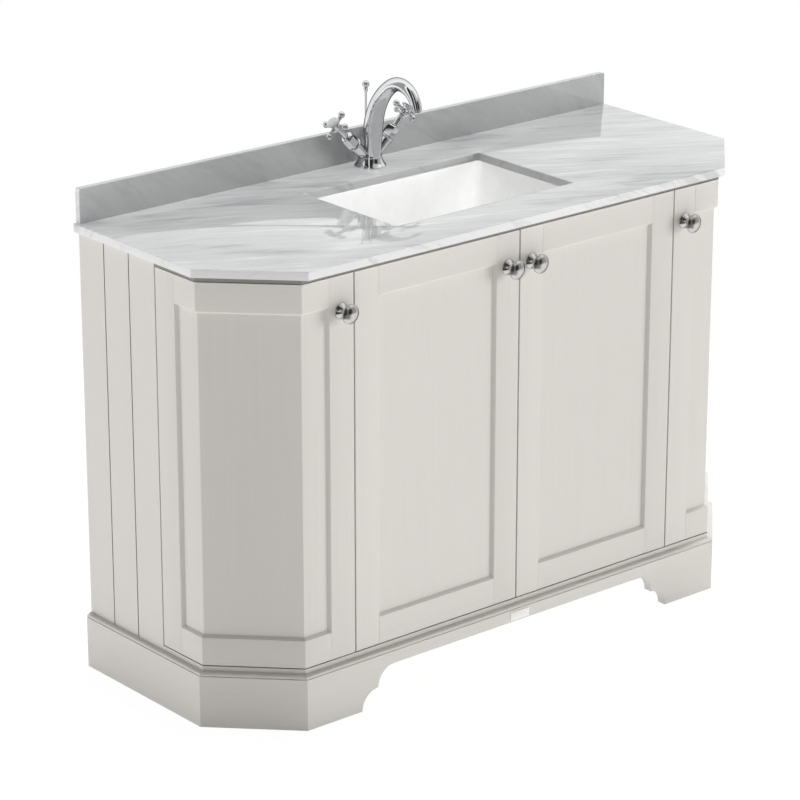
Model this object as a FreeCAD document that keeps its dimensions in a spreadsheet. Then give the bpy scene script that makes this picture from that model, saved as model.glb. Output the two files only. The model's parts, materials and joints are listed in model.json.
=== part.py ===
import FreeCAD, Part
import math
import os
import re
import Sketcher

# A bathroom vanity unit: a painted cabinet with canted corners on a shaped plinth, four framed doors,
# a stone worktop and upstand, an undermounted basin, a two-handle mixer tap and a pop-up waste.
# The frame has +X to the right, +Y to the wall and +Z up. Its origin is on the floor, under the middle.

DOCUMENT = FreeCAD.newDocument("vanity_unit")
VECTOR = FreeCAD.Vector

# Driving dimensions in millimetres, one cell of the sheet each.
SIZES = {
    # One overrun serves all cuts.
    "overrun": 5,
    # Worktop and upstand
    "worktop_end_overhang": 10.5,
    "worktop_front_overhang": 16.3,
    "worktop_thickness": 15,
    "worktop_cant_growth": 12,
    "worktop_bevel": 1.2,
    "cutout_width": 404,
    "cutout_from_back": 109,
    "cutout_from_front": 86.7,
    "cutout_radius": 3,
    "upstand_height": 62,
    "upstand_thickness": 12,
    "upstand_inset": 5.4,
    "upstand_radius": 4,
    # Cabinet boards
    "cabinet_width": 1199,
    "cabinet_depth": 448.7,
    "cabinet_height": 801.5,
    "cabinet_chamfer": 124,
    "board_thickness": 18,
    "base_thickness": 15,
    "sub_top_thickness": 9,
    "back_thickness": 6,
    "side_panel_depth": 213.3,
    "plank_width": 70.7,
    "groove_width": 2.4,
    "groove_depth": 4.5,
    "corner_cupboard_width": 233.5,
    "fixing_rail_height": 80,
    "lower_rail_height": 60,
    "wall_hole_spacing": 500,
    "wall_hole_radius": 4,
    "shelf_height": 430,
    "shelf_clearance": 1,
    "peg_radius": 2.5,
    "peg_depth": 8,
    "peg_reach": 9,
    "peg_inset": 45,
    # Doors
    "door_thickness": 20,
    "door_gap": 3,
    "door_end_gap": 2,
    "door_back_gap": 5,
    "stile_width": 51,
    "rail_width": 50,
    "bevel_width": 4.7,
    "bevel_depth": 6.4,
    "door_panel_thickness": 8,
    "tongue": 8,
    "pin_radius": 3,
    "pin_clearance": 0.05,
    "pin_inset": 9,
    "pin_setback": 6,
    "pin_in_door": 15,
    "pin_in_board": 7,
    "pin_end_clearance": 0.3,
    "catch_clearance": 0.3,
    "catch_width": 32,
    "catch_depth": 15,
    "catch_height": 12,
    # Door knobs
    "knob_below_door_top": 61,
    "knob_projection": 31,
    "knob_head_radius": 17.3,
    "knob_dome": 6.5,
    "knob_rim": 1.5,
    "knob_cup_radius": 15,
    "knob_neck_radius": 6.5,
    "knob_neck_start": 9,
    "knob_neck_end": 12,
    "knob_foot_radius": 14,
    "knob_foot_height": 1.5,
    "knob_foot_dome": 11,
    # Plinth
    "plinth_height": 94,
    "plinth_proud": 10.5,
    "plinth_thickness": 18,
    "foot_length": 115.5,
    "foot_cove_radius": 35.5,
    "moulding_height": 7.5,
    "moulding_depth": 10,
    "moulding_quirk": 1,
    "plate_width": 44,
    "plate_height": 16,
    "plate_thickness": 1.2,
    "plate_below_top": 4,
    # Basin
    "basin_reveal": 3,
    "basin_depth": 140,
    "basin_wall": 9,
    "basin_rim": 22,
    "basin_corner_radius": 14,
    "basin_clearance": 3,
    "clip_length": 60,
    "clip_width": 24,
    "clip_thickness": 2,
    "clip_spacing": 220,
    # Pop-up waste and trap
    "waste_hole_radius": 22.5,
    "waste_flange_radius": 31.5,
    "waste_flange_thickness": 4,
    "waste_tube_radius": 21,
    "waste_bore_radius": 16,
    "waste_length": 95,
    "waste_nut_radius": 30,
    "waste_nut_height": 9,
    "waste_port_radius": 9,
    "waste_port_reach": 34,
    "waste_port_drop": 62,
    "plug_radius": 20,
    "plug_seat_depth": 3,
    "plug_thickness": 3,
    "plug_stem_radius": 4,
    "plug_clearance": 0.5,
    "stem_clearance": 0.9,
    "plug_lift": 5,
    "trap_radius": 30,
    "trap_wall": 3,
    "trap_height": 110,
    "trap_overlap": 14,
    "trap_neck_height": 16,
    "outlet_radius": 16,
    "outlet_wall": 2,
    "spigot_step": 0.8,
    "spigot_reach": 1,
    "outlet_drop": 42,
    "outlet_from_back": 30,
    "branch_wall": 3,
    "branch_length": 22,
    "lever_radius": 2.5,
    "lever_ball_radius": 6,
    "lever_overhang": 14,
    "clamp_size": 16,
    "clamp_hole_radius": 4.6,
    "clamp_web": 2,
    "clamp_grip": 12,
    # Tap
    "tap_from_back": 48,
    "tap_hole_radius": 17.5,
    "tap_access_radius": 30,
    "tap_foot_radius": 28.5,
    "tap_foot_edge": 3,
    "tap_waist_radius": 21.5,
    "tap_waist_height": 19,
    "tap_flare_radius": 40,
    "tap_crown_radius": 13,
    "tap_crown_height": 34,
    "spout_foot_height": 18,
    "spout_foot_reach": 8,
    "spout_rise": 42,
    "spout_radius": 45,
    "spout_centre_reach": 83,
    "spout_centre_height": 119.5,
    "spout_foot_section": 13.5,
    "spout_belly_section": 17.2,
    "spout_tip_section": 9,
    "aerator_height": 3,
    "aerator_radius": 7.5,
    "valve_axis_height": 7,
    "arm_radius": 11.8,
    "arm_length": 54,
    "bonnet_radius": 12.8,
    "bonnet_length": 24,
    "collar_radius": 4.8,
    "collar_length": 25,
    "spindle_radius": 2.8,
    "spindle_length": 30,
    "handle_gap": 0.4,
    "handle_hub_radius": 7.5,
    "handle_hub_length": 18,
    "handle_span": 59,
    "spoke_radius": 2.7,
    "spoke_ball_radius": 5.2,
    "index_cap_radius": 11.5,
    "index_cap_height": 5,
    "inlet_radius": 5,
    "inlet_offset": 10.5,
    "inlet_depth": 14,
    "stud_radius": 4,
    "stud_offset": 10,
    "stud_length": 70,
    "stud_depth": 10,
    "stud_nut_radius": 8,
    "stud_nut_height": 8,
    "washer_radius": 25,
    "washer_thickness": 4,
    "lift_rod_radius": 2,
    "lift_rod_offset": 12,
    "lift_rod_clearance": 0.08,
    "lift_knob_radius": 6.5,
    "lift_knob_height": 146.5,
}

# Driving angles in degrees, on a sheet of their own.
ANGLES = {
    "basin_slope": 5,
    "valve_lean": 45,
    "handle_turn": 8,
    "spout_end": 8,
}

# Places and sizes that follow from the driving dimensions.
PLACES = {
    "half_width": "cabinet_width / 2",
    "mitre_share": "sqrt(2) - 1",
    "back_y": "(cabinet_depth + knob_projection) / 2",
    "front_y": "back_y - cabinet_depth",
    "corner_x": "half_width - cabinet_chamfer",
    "corner_y": "front_y + cabinet_chamfer",
    "facet_length": "cabinet_chamfer * sqrt(2)",
    "side_end_y": "back_y - side_panel_depth",
    "hinge_edge_y": "side_end_y - door_gap",
    "top_z": "cabinet_height + worktop_thickness",
    "sub_top_z": "cabinet_height - sub_top_thickness",
    "base_top_z": "plinth_height + base_thickness",
    "door_low_z": "base_top_z + door_end_gap",
    "door_high_z": "sub_top_z - door_end_gap",
    "door_height": "door_high_z - door_low_z",
    "door_inner_depth": "door_thickness + door_back_gap",
    "board_height": "sub_top_z - base_top_z",
    "side_inner_x": "half_width - board_thickness",
    "side_joint_x": "half_width - corner_cupboard_width",
    "foot_inner_x": "corner_x - foot_length",
    "divider_outer_x": "side_joint_x + board_thickness / 2",
    "divider_inner_x": "side_joint_x - board_thickness / 2",
    "corner_door_edge_x": "side_joint_x + door_gap / 2",
    "centre_door_edge_x": "side_joint_x - door_gap / 2",
    "meeting_edge_x": "door_gap / 2",
    "corner_pin_x": "half_width - pin_setback",
    "corner_pin_y": "hinge_edge_y - pin_inset",
    "centre_pin_x": "centre_door_edge_x - pin_inset",
    "centre_pin_y": "front_y + pin_setback",
    "frame_edge": "stile_width + bevel_width",
    "rail_edge": "rail_width + bevel_width",
    "knob_z": "door_high_z - knob_below_door_top",
    "plinth_inner": "plinth_proud - plinth_thickness",
    "worktop_half": "half_width + worktop_end_overhang",
    "worktop_front_y": "front_y - worktop_front_overhang",
    "worktop_chamfer": "cabinet_chamfer + worktop_cant_growth",
    "cutout_back_y": "back_y - cutout_from_back",
    "cutout_depth": "cabinet_depth - cutout_from_back - cutout_from_front",
    "basin_y": "cutout_back_y - cutout_depth / 2",
    "mouth_half_x": "cutout_width / 2 + basin_reveal",
    "mouth_half_y": "cutout_depth / 2 + basin_reveal",
    "rim_half_x": "mouth_half_x + basin_rim",
    "rim_half_y": "mouth_half_y + basin_rim",
    "basin_floor_z": "cabinet_height - basin_depth",
    "basin_under_z": "basin_floor_z - basin_wall",
    "plug_ledge_z": "basin_floor_z + waste_flange_thickness - plug_seat_depth",
    "plug_z": "plug_ledge_z + plug_clearance + plug_lift",
    "waste_end_z": "basin_floor_z - waste_length",
    "lever_z": "basin_floor_z - waste_port_drop",
    "lever_pivot_y": "basin_y + waste_tube_radius + waste_port_radius",
    "lever_start_y": "basin_y - plug_stem_radius",
    "plug_foot_z": "lever_z + lever_radius + stem_clearance",
    "rod_end_z": "lever_z + clamp_hole_radius + clamp_web",
    "tap_y": "back_y - tap_from_back",
    "lift_rod_y": "tap_y + lift_rod_offset",
    "trap_top_z": "waste_end_z + trap_overlap",
    "trap_shoulder_z": "trap_top_z - trap_neck_height",
    "trap_end_z": "trap_top_z - trap_height",
    "outlet_z": "trap_top_z - outlet_drop",
    "outlet_start_y": "basin_y + trap_radius",
    "outlet_end_y": "back_y - outlet_from_back",
    "spigot_radius": "outlet_radius - spigot_step",
    "spigot_length": "branch_length + spigot_reach",
    "bonnet_start": "arm_length",
    "collar_start": "bonnet_start + bonnet_length",
    "handle_start": "collar_start + collar_length + handle_gap",
    "spoke_height": "handle_hub_length / 2",
}


def make_sheet(name, cells):
    """Fill a sheet with one named cell a row."""
    sheet = DOCUMENT.addObject("Spreadsheet::Sheet", name)
    for row, (alias, content) in enumerate(cells.items(), start=1):
        sheet.set("A%d" % row, alias)
        sheet.set("B%d" % row, str(content))
        sheet.setAlias("B%d" % row, alias)
    return sheet


def bound(text):
    """Write a sum of named sizes and places as an expression on the sheets."""
    def address(match):
        word = match.group(0)
        for sheet, cells in (("sizes", SIZES), ("angles", ANGLES), ("places", PLACES)):
            if word in cells:
                return "%s.%s" % (sheet, word)
        return word
    return re.sub(r"[a-z_]+[a-z]", address, text)


def value(text):
    """The number that a sum of named sizes and places comes to."""
    result = sheet_of_places.evalExpression(bound(text))
    return float(getattr(result, "Value", result))


make_sheet("sizes", SIZES)
make_sheet("angles", ANGLES)
sheet_of_places = make_sheet("places", {alias: "=" + bound(text) for alias, text in PLACES.items()})
DOCUMENT.recompute()


# Document objects

def place(thing, at=("0", "0", "0"), turn=0, axis=(0, 0, 1)):
    """Turn an object about an axis through its own origin and bind its position to the sheets."""
    thing.Placement = FreeCAD.Placement(VECTOR(), FreeCAD.Rotation(VECTOR(*axis), turn))
    for letter, text in zip("xyz", at):
        thing.setExpression("Placement.Base." + letter, bound(text))
    return thing


def primitive(kind, name, at, turn, axis, **sizes):
    """A Part primitive with its sizes bound to the sheets."""
    thing = DOCUMENT.addObject("Part::" + kind, name)
    for size, text in sizes.items():
        thing.setExpression(size, bound(text))
    return place(thing, at, turn, axis)


def box(name, low, size):
    """An upright box from its lowest corner and its size."""
    length, width, height = size
    return primitive("Box", name, low, 0, (0, 0, 1), Length=length, Width=width, Height=height)


def cylinder(name, at, radius, height, turn=0, axis=(0, 0, 1)):
    """A cylinder that starts at a point and runs along its own turned Z axis."""
    return primitive("Cylinder", name, at, turn, axis, Radius=radius, Height=height)


def ball(name, at, radius):
    """A whole ball about a point."""
    return primitive("Sphere", name, at, 0, (0, 0, 1), Radius=radius)


def fuse(name, pieces):
    """One solid from pieces that overlap."""
    thing = DOCUMENT.addObject("Part::MultiFuse", name)
    thing.Shapes = pieces
    thing.Refine = True
    return thing


def group(name, pieces):
    """Several solids that stay apart in one node."""
    thing = DOCUMENT.addObject("Part::Compound", name)
    thing.Links = pieces
    return thing


def cut(name, base, tools):
    """A piece less one or more tools."""
    thing = DOCUMENT.addObject("Part::Cut", name)
    thing.Base = base
    thing.Tool = tools[0] if len(tools) == 1 else group(name + "_tools", tools)
    return thing


def common(name, base, tool):
    """What two pieces share."""
    thing = DOCUMENT.addObject("Part::Common", name)
    thing.Base = base
    thing.Tool = tool
    return thing


def mirrored(name, source):
    """The right-hand twin of a left-hand piece."""
    thing = DOCUMENT.addObject("Part::Mirroring", name)
    thing.Source = source
    thing.Normal = VECTOR(1, 0, 0)
    return thing


# Sketched pieces

def new_body(name, at=("0", "0", "0"), turn=0, axis=(0, 0, 1)):
    """An empty body at a place bound to the sheets."""
    return place(DOCUMENT.addObject("PartDesign::Body", name), at, turn, axis)


def new_sketch(body, plane):
    """An empty sketch on one of the body's own origin planes."""
    sketch = body.newObject("Sketcher::SketchObject", body.Name + "_sketch")
    support = next(item for item in body.Origin.OriginFeatures if item.Role == plane)
    sketch.AttachmentSupport = [(support, "")]
    sketch.MapMode = "FlatFace"
    return sketch


def arc_between(start, end, radius, leftward):
    """The shorter arc between two points, bending to the left or the right of the way from start to end."""
    chord = end.sub(start)
    middle = start.add(end).multiply(0.5)
    side = VECTOR(-chord.y, chord.x, 0).normalize()
    rise = math.sqrt(max(radius ** 2 - chord.Length ** 2 / 4, 0))
    centre = middle.add(side.multiply(rise if leftward else -rise))
    circle = Part.Circle(centre, VECTOR(0, 0, 1), radius)
    first, last = (start, end) if leftward else (end, start)
    first_angle = math.atan2(first.y - centre.y, first.x - centre.x)
    last_angle = math.atan2(last.y - centre.y, last.x - centre.x)
    return Part.ArcOfCircle(circle, first_angle, last_angle)


def fix(sketch, kind, numbers, text):
    """Add one dimension to a sketch and bind it to the sheets."""
    index = sketch.addConstraint(Sketcher.Constraint(kind, *numbers, value(text)))
    sketch.setExpression("Constraints[%d]" % index, bound(text))


def draw_outline(body, plane, corners):
    """Sketch a closed outline. A corner is its two coordinates, then a radius where an arc leaves it:
    a radius after "left" turns anticlockwise on the way to the next corner, after "right" clockwise."""
    sketch = new_sketch(body, plane)
    points = [VECTOR(value(corner[0]), value(corner[1]), 0) for corner in corners]
    starts = []
    ends = []
    for index, corner in enumerate(corners):
        start, end = points[index], points[(index + 1) % len(points)]
        if len(corner) == 2:
            sketch.addGeometry(Part.LineSegment(start, end), False)
        else:
            sketch.addGeometry(arc_between(start, end, value(corner[3]), corner[2] == "left"), False)
        reverse = len(corner) > 2 and corner[2] == "right"
        starts.append(2 if reverse else 1)
        ends.append(1 if reverse else 2)
    for index, corner in enumerate(corners):
        after = (index + 1) % len(corners)
        sketch.addConstraint(Sketcher.Constraint("Coincident", index, ends[index], after, starts[after]))
    for index, corner in enumerate(corners):
        fix(sketch, "DistanceX", (-1, 1, index, starts[index]), corner[0])
        fix(sketch, "DistanceY", (-1, 1, index, starts[index]), corner[1])
        if len(corner) > 2:
            fix(sketch, "Radius", (index,), corner[3])
    return sketch


def draw_circle(body, plane, centre, radius):
    """Sketch one circle."""
    sketch = new_sketch(body, plane)
    middle = VECTOR(value(centre[0]), value(centre[1]), 0)
    sketch.addGeometry(Part.Circle(middle, VECTOR(0, 0, 1), value(radius)), False)
    fix(sketch, "DistanceX", (-1, 1, 0, 3), centre[0])
    fix(sketch, "DistanceY", (-1, 1, 0, 3), centre[1])
    fix(sketch, "Radius", (0,), radius)
    return sketch


def add_feature(body, kind, profile, length, reverse=False):
    """Pad or pocket a sketch by a bound length."""
    feature = body.newObject("PartDesign::" + kind, body.Name + "_" + kind.lower())
    feature.Profile = profile
    feature.Reversed = reverse
    feature.setExpression("Length", bound(length))
    return feature


def prism(name, plane, corners, length, at=("0", "0", "0"), turn=0, reverse=False):
    """A body with one padded outline: XY outlines rise, XZ ones run to the front, YZ ones to the right."""
    body = new_body(name, at, turn)
    add_feature(body, "Pad", draw_outline(body, plane, corners), length, reverse)
    return body


def turned(name, corners, at=("0", "0", "0"), turn=0, axis=(0, 0, 1)):
    """A body turned about its Z axis from half an outline, each corner a radius and a height."""
    body = new_body(name, at, turn, axis)
    sketch = draw_outline(body, "XZ_Plane", corners)
    feature = body.newObject("PartDesign::Revolution", name + "_revolution")
    feature.Profile = sketch
    feature.ReferenceAxis = (sketch, ["V_Axis"])
    feature.Angle = 360
    return body


def soften(body, kind, size, wanted):
    """Fillet or chamfer the edges of the body's last feature that pass a test."""
    DOCUMENT.recompute()
    base = body.Tip
    names = ["Edge%d" % number for number, edge in enumerate(base.Shape.Edges, start=1) if wanted(edge)]
    feature = body.newObject("PartDesign::" + kind, body.Name + "_" + kind.lower())
    feature.Base = (base, names)
    feature.setExpression("Radius" if kind == "Fillet" else "Size", bound(size))
    return feature


SUBPARTS = []


def subpart(label, thing):
    """Name a finished piece: its label names its file."""
    thing.Label = label
    SUBPARTS.append(thing)
    return thing


# The canted outline of the cabinet

def side_corner(offset):
    """Where the left side meets the cant, on the outline moved out by an offset."""
    return ("-(half_width + %s)" % offset, "corner_y - (%s) * mitre_share" % offset)


def front_corner(offset):
    """Where the left cant meets the front, on the outline moved out by an offset."""
    return ("-(corner_x + (%s) * mitre_share)" % offset, "front_y - (%s)" % offset)


def opposite(corner):
    """The same point on the right-hand side."""
    return ("-(%s)" % corner[0], corner[1])


def cabinet_outline():
    """The outline of a board that fills the cabinet between its side panels and fronts it elsewhere."""
    left = [
        ("-side_inner_x", "back_y"),
        ("-side_inner_x", "side_end_y"),
        ("-half_width", "side_end_y"),
        side_corner("0"),
        front_corner("0"),
    ]
    return left + [opposite(corner) for corner in reversed(left)]


# Carcass

PIN_PLACES = {
    "corner": ("-corner_pin_x", "corner_pin_y"),
    "centre": ("-centre_pin_x", "centre_pin_y"),
}


def pin_bores(name, low, length):
    """The four holes in a board that the doors turn in."""
    bores = []
    for door, spot in PIN_PLACES.items():
        for side, (x, y) in (("left", spot), ("right", opposite(spot))):
            bore_name = "%s_%s_%s_bore" % (name, side, door)
            bores.append(cylinder(bore_name, (x, y, low), "pin_radius + pin_clearance", length))
    return bores


def build_side_panel(pegs):
    """A side of three upright planks, with a V groove at each joint."""
    corners = [("-side_inner_x", "back_y"), ("-half_width", "back_y")]
    for plank in ("plank_width", "2 * plank_width"):
        corners += [
            ("-half_width", "back_y - %s + groove_width / 2" % plank),
            ("-half_width + groove_depth", "back_y - %s" % plank),
            ("-half_width", "back_y - %s - groove_width / 2" % plank),
        ]
    corners += [("-half_width", "side_end_y"), ("-side_inner_x", "side_end_y")]
    height = "cabinet_height - plinth_height"
    board = prism("side_board", "XY_Plane", corners, height, ("0", "0", "plinth_height"))
    left = subpart("left_side_panel", cut("left_side_panel", board, pegs))
    subpart("right_side_panel", mirrored("right_side_panel", left))


def build_divider(pegs):
    """An upright partition between a corner cupboard and the middle one."""
    low = ("-divider_outer_x", "front_y + door_inner_depth", "base_top_z")
    board = box("divider_board", low, ("board_thickness", "cabinet_depth - door_inner_depth", "board_height"))
    left = subpart("left_divider", cut("left_divider", board, pegs))
    subpart("right_divider", mirrored("right_divider", left))


def build_base_board():
    """The cabinet's floor, which the doors turn on."""
    board = prism("base_blank", "XY_Plane", cabinet_outline(), "base_thickness", ("0", "0", "plinth_height"))
    depth = "pin_in_board + pin_end_clearance"
    bores = pin_bores("base", "base_top_z - (%s)" % depth, depth + " + overrun")
    subpart("base_board", cut("base_board", board, bores))


def build_sub_top():
    """The board under the worktop, open round the basin and under the tap."""
    outline = cabinet_outline()
    board = prism("sub_top_blank", "XY_Plane", outline, "sub_top_thickness", ("0", "0", "sub_top_z"))
    cut_low = "sub_top_z - overrun"
    cut_height = "sub_top_thickness + 2 * overrun"
    opening = box(
        "sub_top_opening",
        ("-(rim_half_x + basin_clearance)", "basin_y - rim_half_y - basin_clearance", cut_low),
        ("2 * (rim_half_x + basin_clearance)", "2 * (rim_half_y + basin_clearance)", cut_height),
    )
    access = cylinder("tap_access", ("0", "tap_y", cut_low), "tap_access_radius", cut_height)
    bores = pin_bores("sub_top", cut_low, "overrun + pin_in_board + pin_end_clearance")
    subpart("sub_top", cut("sub_top", board, [opening, access] + bores))


def build_back():
    """The rails across the open middle bay and the panels behind the corner cupboards."""
    across = "2 * divider_inner_x"
    rail_y = "back_y - board_thickness"
    rail_z = "sub_top_z - fixing_rail_height"
    upper_size = (across, "board_thickness", "fixing_rail_height")
    blank = box("fixing_rail_blank", ("-divider_inner_x", rail_y, rail_z), upper_size)
    holes = []
    for side, sign in (("left", "-"), ("right", "")):
        start = (sign + "wall_hole_spacing / 2", "back_y + overrun", rail_z + " + fixing_rail_height / 2")
        depth = "board_thickness + 2 * overrun"
        holes.append(cylinder(side + "_wall_hole", start, "wall_hole_radius", depth, 90, (1, 0, 0)))
    upper = cut("fixing_rail", blank, holes)
    lower_size = (across, "board_thickness", "lower_rail_height")
    lower = box("lower_rail", ("-divider_inner_x", rail_y, "base_top_z"), lower_size)
    subpart("back_rails", group("back_rails", [upper, lower]))
    low = ("-side_inner_x", "back_y - back_thickness", "base_top_z")
    size = ("side_inner_x - divider_outer_x", "back_thickness", "board_height")
    left = subpart("left_back_panel", box("left_back_panel", low, size))
    subpart("right_back_panel", mirrored("right_back_panel", left))


def build_shelves():
    """A canted shelf in each corner cupboard on four pegs. The pegs are returned for their holes."""
    side_x = "-(side_inner_x - shelf_clearance)"
    divider_x = "-(divider_outer_x + shelf_clearance)"
    behind = "back_y - back_thickness - shelf_clearance"
    inner_side = side_corner("-door_inner_depth")
    corners = [
        (side_x, behind),
        (side_x, "side_end_y"),
        (inner_side[0], "side_end_y"),
        inner_side,
        front_corner("-door_inner_depth"),
        (divider_x, "front_y + door_inner_depth"),
        (divider_x, behind),
    ]
    left = prism("left_shelf", "XY_Plane", corners, "board_thickness", ("0", "0", "shelf_height"))
    subpart("shelves", group("shelves", [left, mirrored("right_shelf", left)]))
    rear = behind + " - peg_inset"
    spots = {
        "side_rear": ("-(side_inner_x + peg_depth)", rear),
        "side_front": ("-(side_inner_x + peg_depth)", "side_end_y + peg_inset"),
        "divider_rear": ("-(divider_outer_x + peg_reach)", rear),
        "divider_front": ("-(divider_outer_x + peg_reach)", "front_y + door_inner_depth + peg_inset"),
    }
    pegs = {}
    for spot, (x, y) in spots.items():
        start = (x, y, "shelf_height - peg_radius")
        pegs[spot] = cylinder("peg_" + spot, start, "peg_radius", "peg_depth + peg_reach", 90, (0, 1, 0))
    left_pegs = group("left_pegs", list(pegs.values()))
    subpart("shelf_pegs", group("shelf_pegs", [left_pegs, mirrored("right_pegs", left_pegs)]))
    return pegs


def build_catches():
    """A catch under the board below the worktop, behind the free stile of each door."""
    y = "front_y + door_thickness + catch_clearance"
    z = "sub_top_z - catch_height"
    catches = []
    for door, edge_x in (("corner", "corner_door_edge_x"), ("centre", "meeting_edge_x")):
        low = ("-(%s + (stile_width + catch_width) / 2)" % edge_x, y, z)
        left = box("left_%s_catch" % door, low, ("catch_width", "catch_depth", "catch_height"))
        catches += [left, mirrored("right_%s_catch" % door, left)]
    subpart("door_catches", group("door_catches", catches))


# Plinth

def build_plinth():
    """Mitred boards that stand proud of the cabinet; the front one is cut away between two shaped feet."""
    end_line = [("-(half_width + %s)" % offset, "back_y") for offset in ("plinth_proud", "plinth_inner")]
    side_line = [side_corner(offset) for offset in ("plinth_proud", "plinth_inner")]
    front_line = [front_corner(offset) for offset in ("plinth_proud", "plinth_inner")]
    right_line = [opposite(corner) for corner in front_line]

    def board(name, start, end):
        return prism(name, "XY_Plane", [start[0], end[0], end[1], start[1]], "plinth_height")

    left_side = subpart("plinth_left_side", board("plinth_left_side", end_line, side_line))
    subpart("plinth_right_side", mirrored("plinth_right_side", left_side))
    left_cant = board("plinth_left_cant", side_line, front_line)
    subpart("plinth_corners", group("plinth_corners", [left_cant, mirrored("plinth_right_cant", left_cant)]))
    blank = board("plinth_front_blank", front_line, right_line)
    left_foot = [
        ("-foot_inner_x", "-overrun"),
        ("-foot_inner_x", "0", "right", "foot_cove_radius"),
        ("-foot_inner_x + foot_cove_radius", "foot_cove_radius", "right", "foot_cove_radius"),
    ]
    right_foot = [
        ("foot_inner_x - 2 * foot_cove_radius", "2 * foot_cove_radius", "right", "foot_cove_radius"),
        ("foot_inner_x - foot_cove_radius", "foot_cove_radius", "right", "foot_cove_radius"),
        ("foot_inner_x", "0"),
        ("foot_inner_x", "-overrun"),
    ]
    top_left = [("-foot_inner_x + 2 * foot_cove_radius", "2 * foot_cove_radius")]
    start = ("0", "front_y - plinth_inner + overrun", "0")
    outline = left_foot + top_left + right_foot
    arch = prism("apron_arch", "XZ_Plane", outline, "plinth_thickness + 2 * overrun", start)
    subpart("plinth_front", cut("plinth_front", blank, [arch]))


def build_moulding():
    """A rounded moulding on the plinth's ledge, mitred round the cabinet in one run."""
    body = new_body("plinth_moulding", ("0", "0", "plinth_height"))
    path = new_sketch(body, "XY_Plane")
    left = [("-half_width", "back_y"), side_corner("0"), front_corner("0")]
    corners = left + [opposite(corner) for corner in reversed(left)]
    points = [VECTOR(value(x), value(y), 0) for x, y in corners]
    for index in range(len(points) - 1):
        path.addGeometry(Part.LineSegment(points[index], points[index + 1]), False)
    for index in range(len(points) - 2):
        path.addConstraint(Sketcher.Constraint("Coincident", index, 2, index + 1, 1))
    for index, (x, y) in enumerate(corners):
        end = (index, 1) if index < len(points) - 1 else (index - 1, 2)
        fix(path, "DistanceX", (-1, 1) + end, x)
        fix(path, "DistanceY", (-1, 1) + end, y)
    round_radius = "(moulding_height - moulding_quirk)"
    section = draw_outline(body, "XZ_Plane", [
        ("-half_width", "0"),
        ("-half_width", "moulding_height"),
        ("-(half_width + moulding_depth - %s)" % round_radius, "moulding_height", "left", round_radius),
        ("-(half_width + moulding_depth)", "moulding_quirk"),
        ("-(half_width + moulding_depth)", "0"),
    ])
    section.setExpression("AttachmentOffset.Base.z", bound("-back_y"))
    run = body.newObject("PartDesign::AdditivePipe", "moulding_run")
    run.Profile = section
    run.Spine = (path, [])
    run.Transition = "Right corner"
    subpart("plinth_moulding", body)


def build_plate():
    """A small blank plate on the middle of the plinth."""
    y = "front_y - plinth_proud - plate_thickness"
    z = "plinth_height - plate_below_top - plate_height"
    size = ("plate_width", "plate_thickness", "plate_height")
    subpart("blank_plate", box("blank_plate", ("-plate_width / 2", y, z), size))


# Doors

def stile(name, sign, turn, x, y):
    """An upright of a door frame from its outer edge, with the bevel towards the panel."""
    corners = [
        ("0", "0"),
        (sign + "stile_width", "0"),
        (sign + "frame_edge", "bevel_depth"),
        (sign + "frame_edge", "door_thickness"),
        ("0", "door_thickness"),
    ]
    return prism(name, "XY_Plane", corners, "door_height", (x, y, "door_low_z"), turn)


def rail(name, upper, turn, x, y, length):
    """A crosspiece of a door frame along its own X axis, with the bevel towards the panel."""
    sign = "-" if upper else ""
    corners = [
        ("0", "0"),
        ("0", sign + "rail_width"),
        ("bevel_depth", sign + "rail_edge"),
        ("door_thickness", sign + "rail_edge"),
        ("door_thickness", "0"),
    ]
    return prism(name, "YZ_Plane", corners, length, (x, y, "door_high_z" if upper else "door_low_z"), turn)


def door_pins(name, spot):
    """The pins at the head and foot of a door, each half in the door and half in a board."""
    length = "pin_in_door + door_end_gap + pin_in_board"
    low = cylinder(name + "_low", spot + ("base_top_z - pin_in_board",), "pin_radius", length)
    high = cylinder(name + "_high", spot + ("door_high_z - pin_in_door",), "pin_radius", length)
    return group(name, [low, high])


def build_knob(name, x):
    """A turned knob with a domed head, standing out of a door."""
    rim_start = "knob_projection - knob_dome - knob_rim"
    rim_end = "knob_projection - knob_dome"
    dome_radius = "(knob_head_radius ^ 2 + knob_dome ^ 2) / (2 * knob_dome)"
    corners = [
        ("0", "0"),
        ("knob_foot_radius", "0"),
        ("knob_foot_radius", "knob_foot_height", "left", "knob_foot_dome"),
        ("knob_neck_radius", "knob_neck_start"),
        ("knob_neck_radius", "knob_neck_end", "right", "knob_cup_radius"),
        ("knob_head_radius", rim_start),
        ("knob_head_radius", rim_end, "left", dome_radius),
        ("0", "knob_projection"),
    ]
    return turned(name, corners, (x, "front_y", "knob_z"), 90, (1, 0, 0))


def build_door(door, stiles, rails, panels, pins, knob_x):
    """Fit a left-hand door together and mirror it: rails are coped over stiles, panels sit in grooves."""
    panel = group(door + "_panel_boards", panels)
    stile_pair = []
    for number, piece in enumerate(stiles):
        stile_pair.append(cut("%s_stile_%d" % (door, number), piece, [panel, pins]))
    frame = group(door + "_stiles", stile_pair)
    rail_set = []
    for number, piece in enumerate(rails):
        grooved = cut("%s_grooved_rail_%d" % (door, number), piece, [panel])
        rail_set.append(cut("%s_rail_%d" % (door, number), grooved, [frame]))
    pieces = {
        "stiles": frame,
        "rails": group(door + "_rails", rail_set),
        "panel": panel,
        "pins": pins,
        "knob": build_knob(door + "_knob", knob_x),
    }
    for piece, thing in pieces.items():
        subpart("left_%s_door_%s" % (door, piece), thing)
        subpart("right_%s_door_%s" % (door, piece), mirrored("right_%s_door_%s" % (door, piece), thing))


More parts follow.
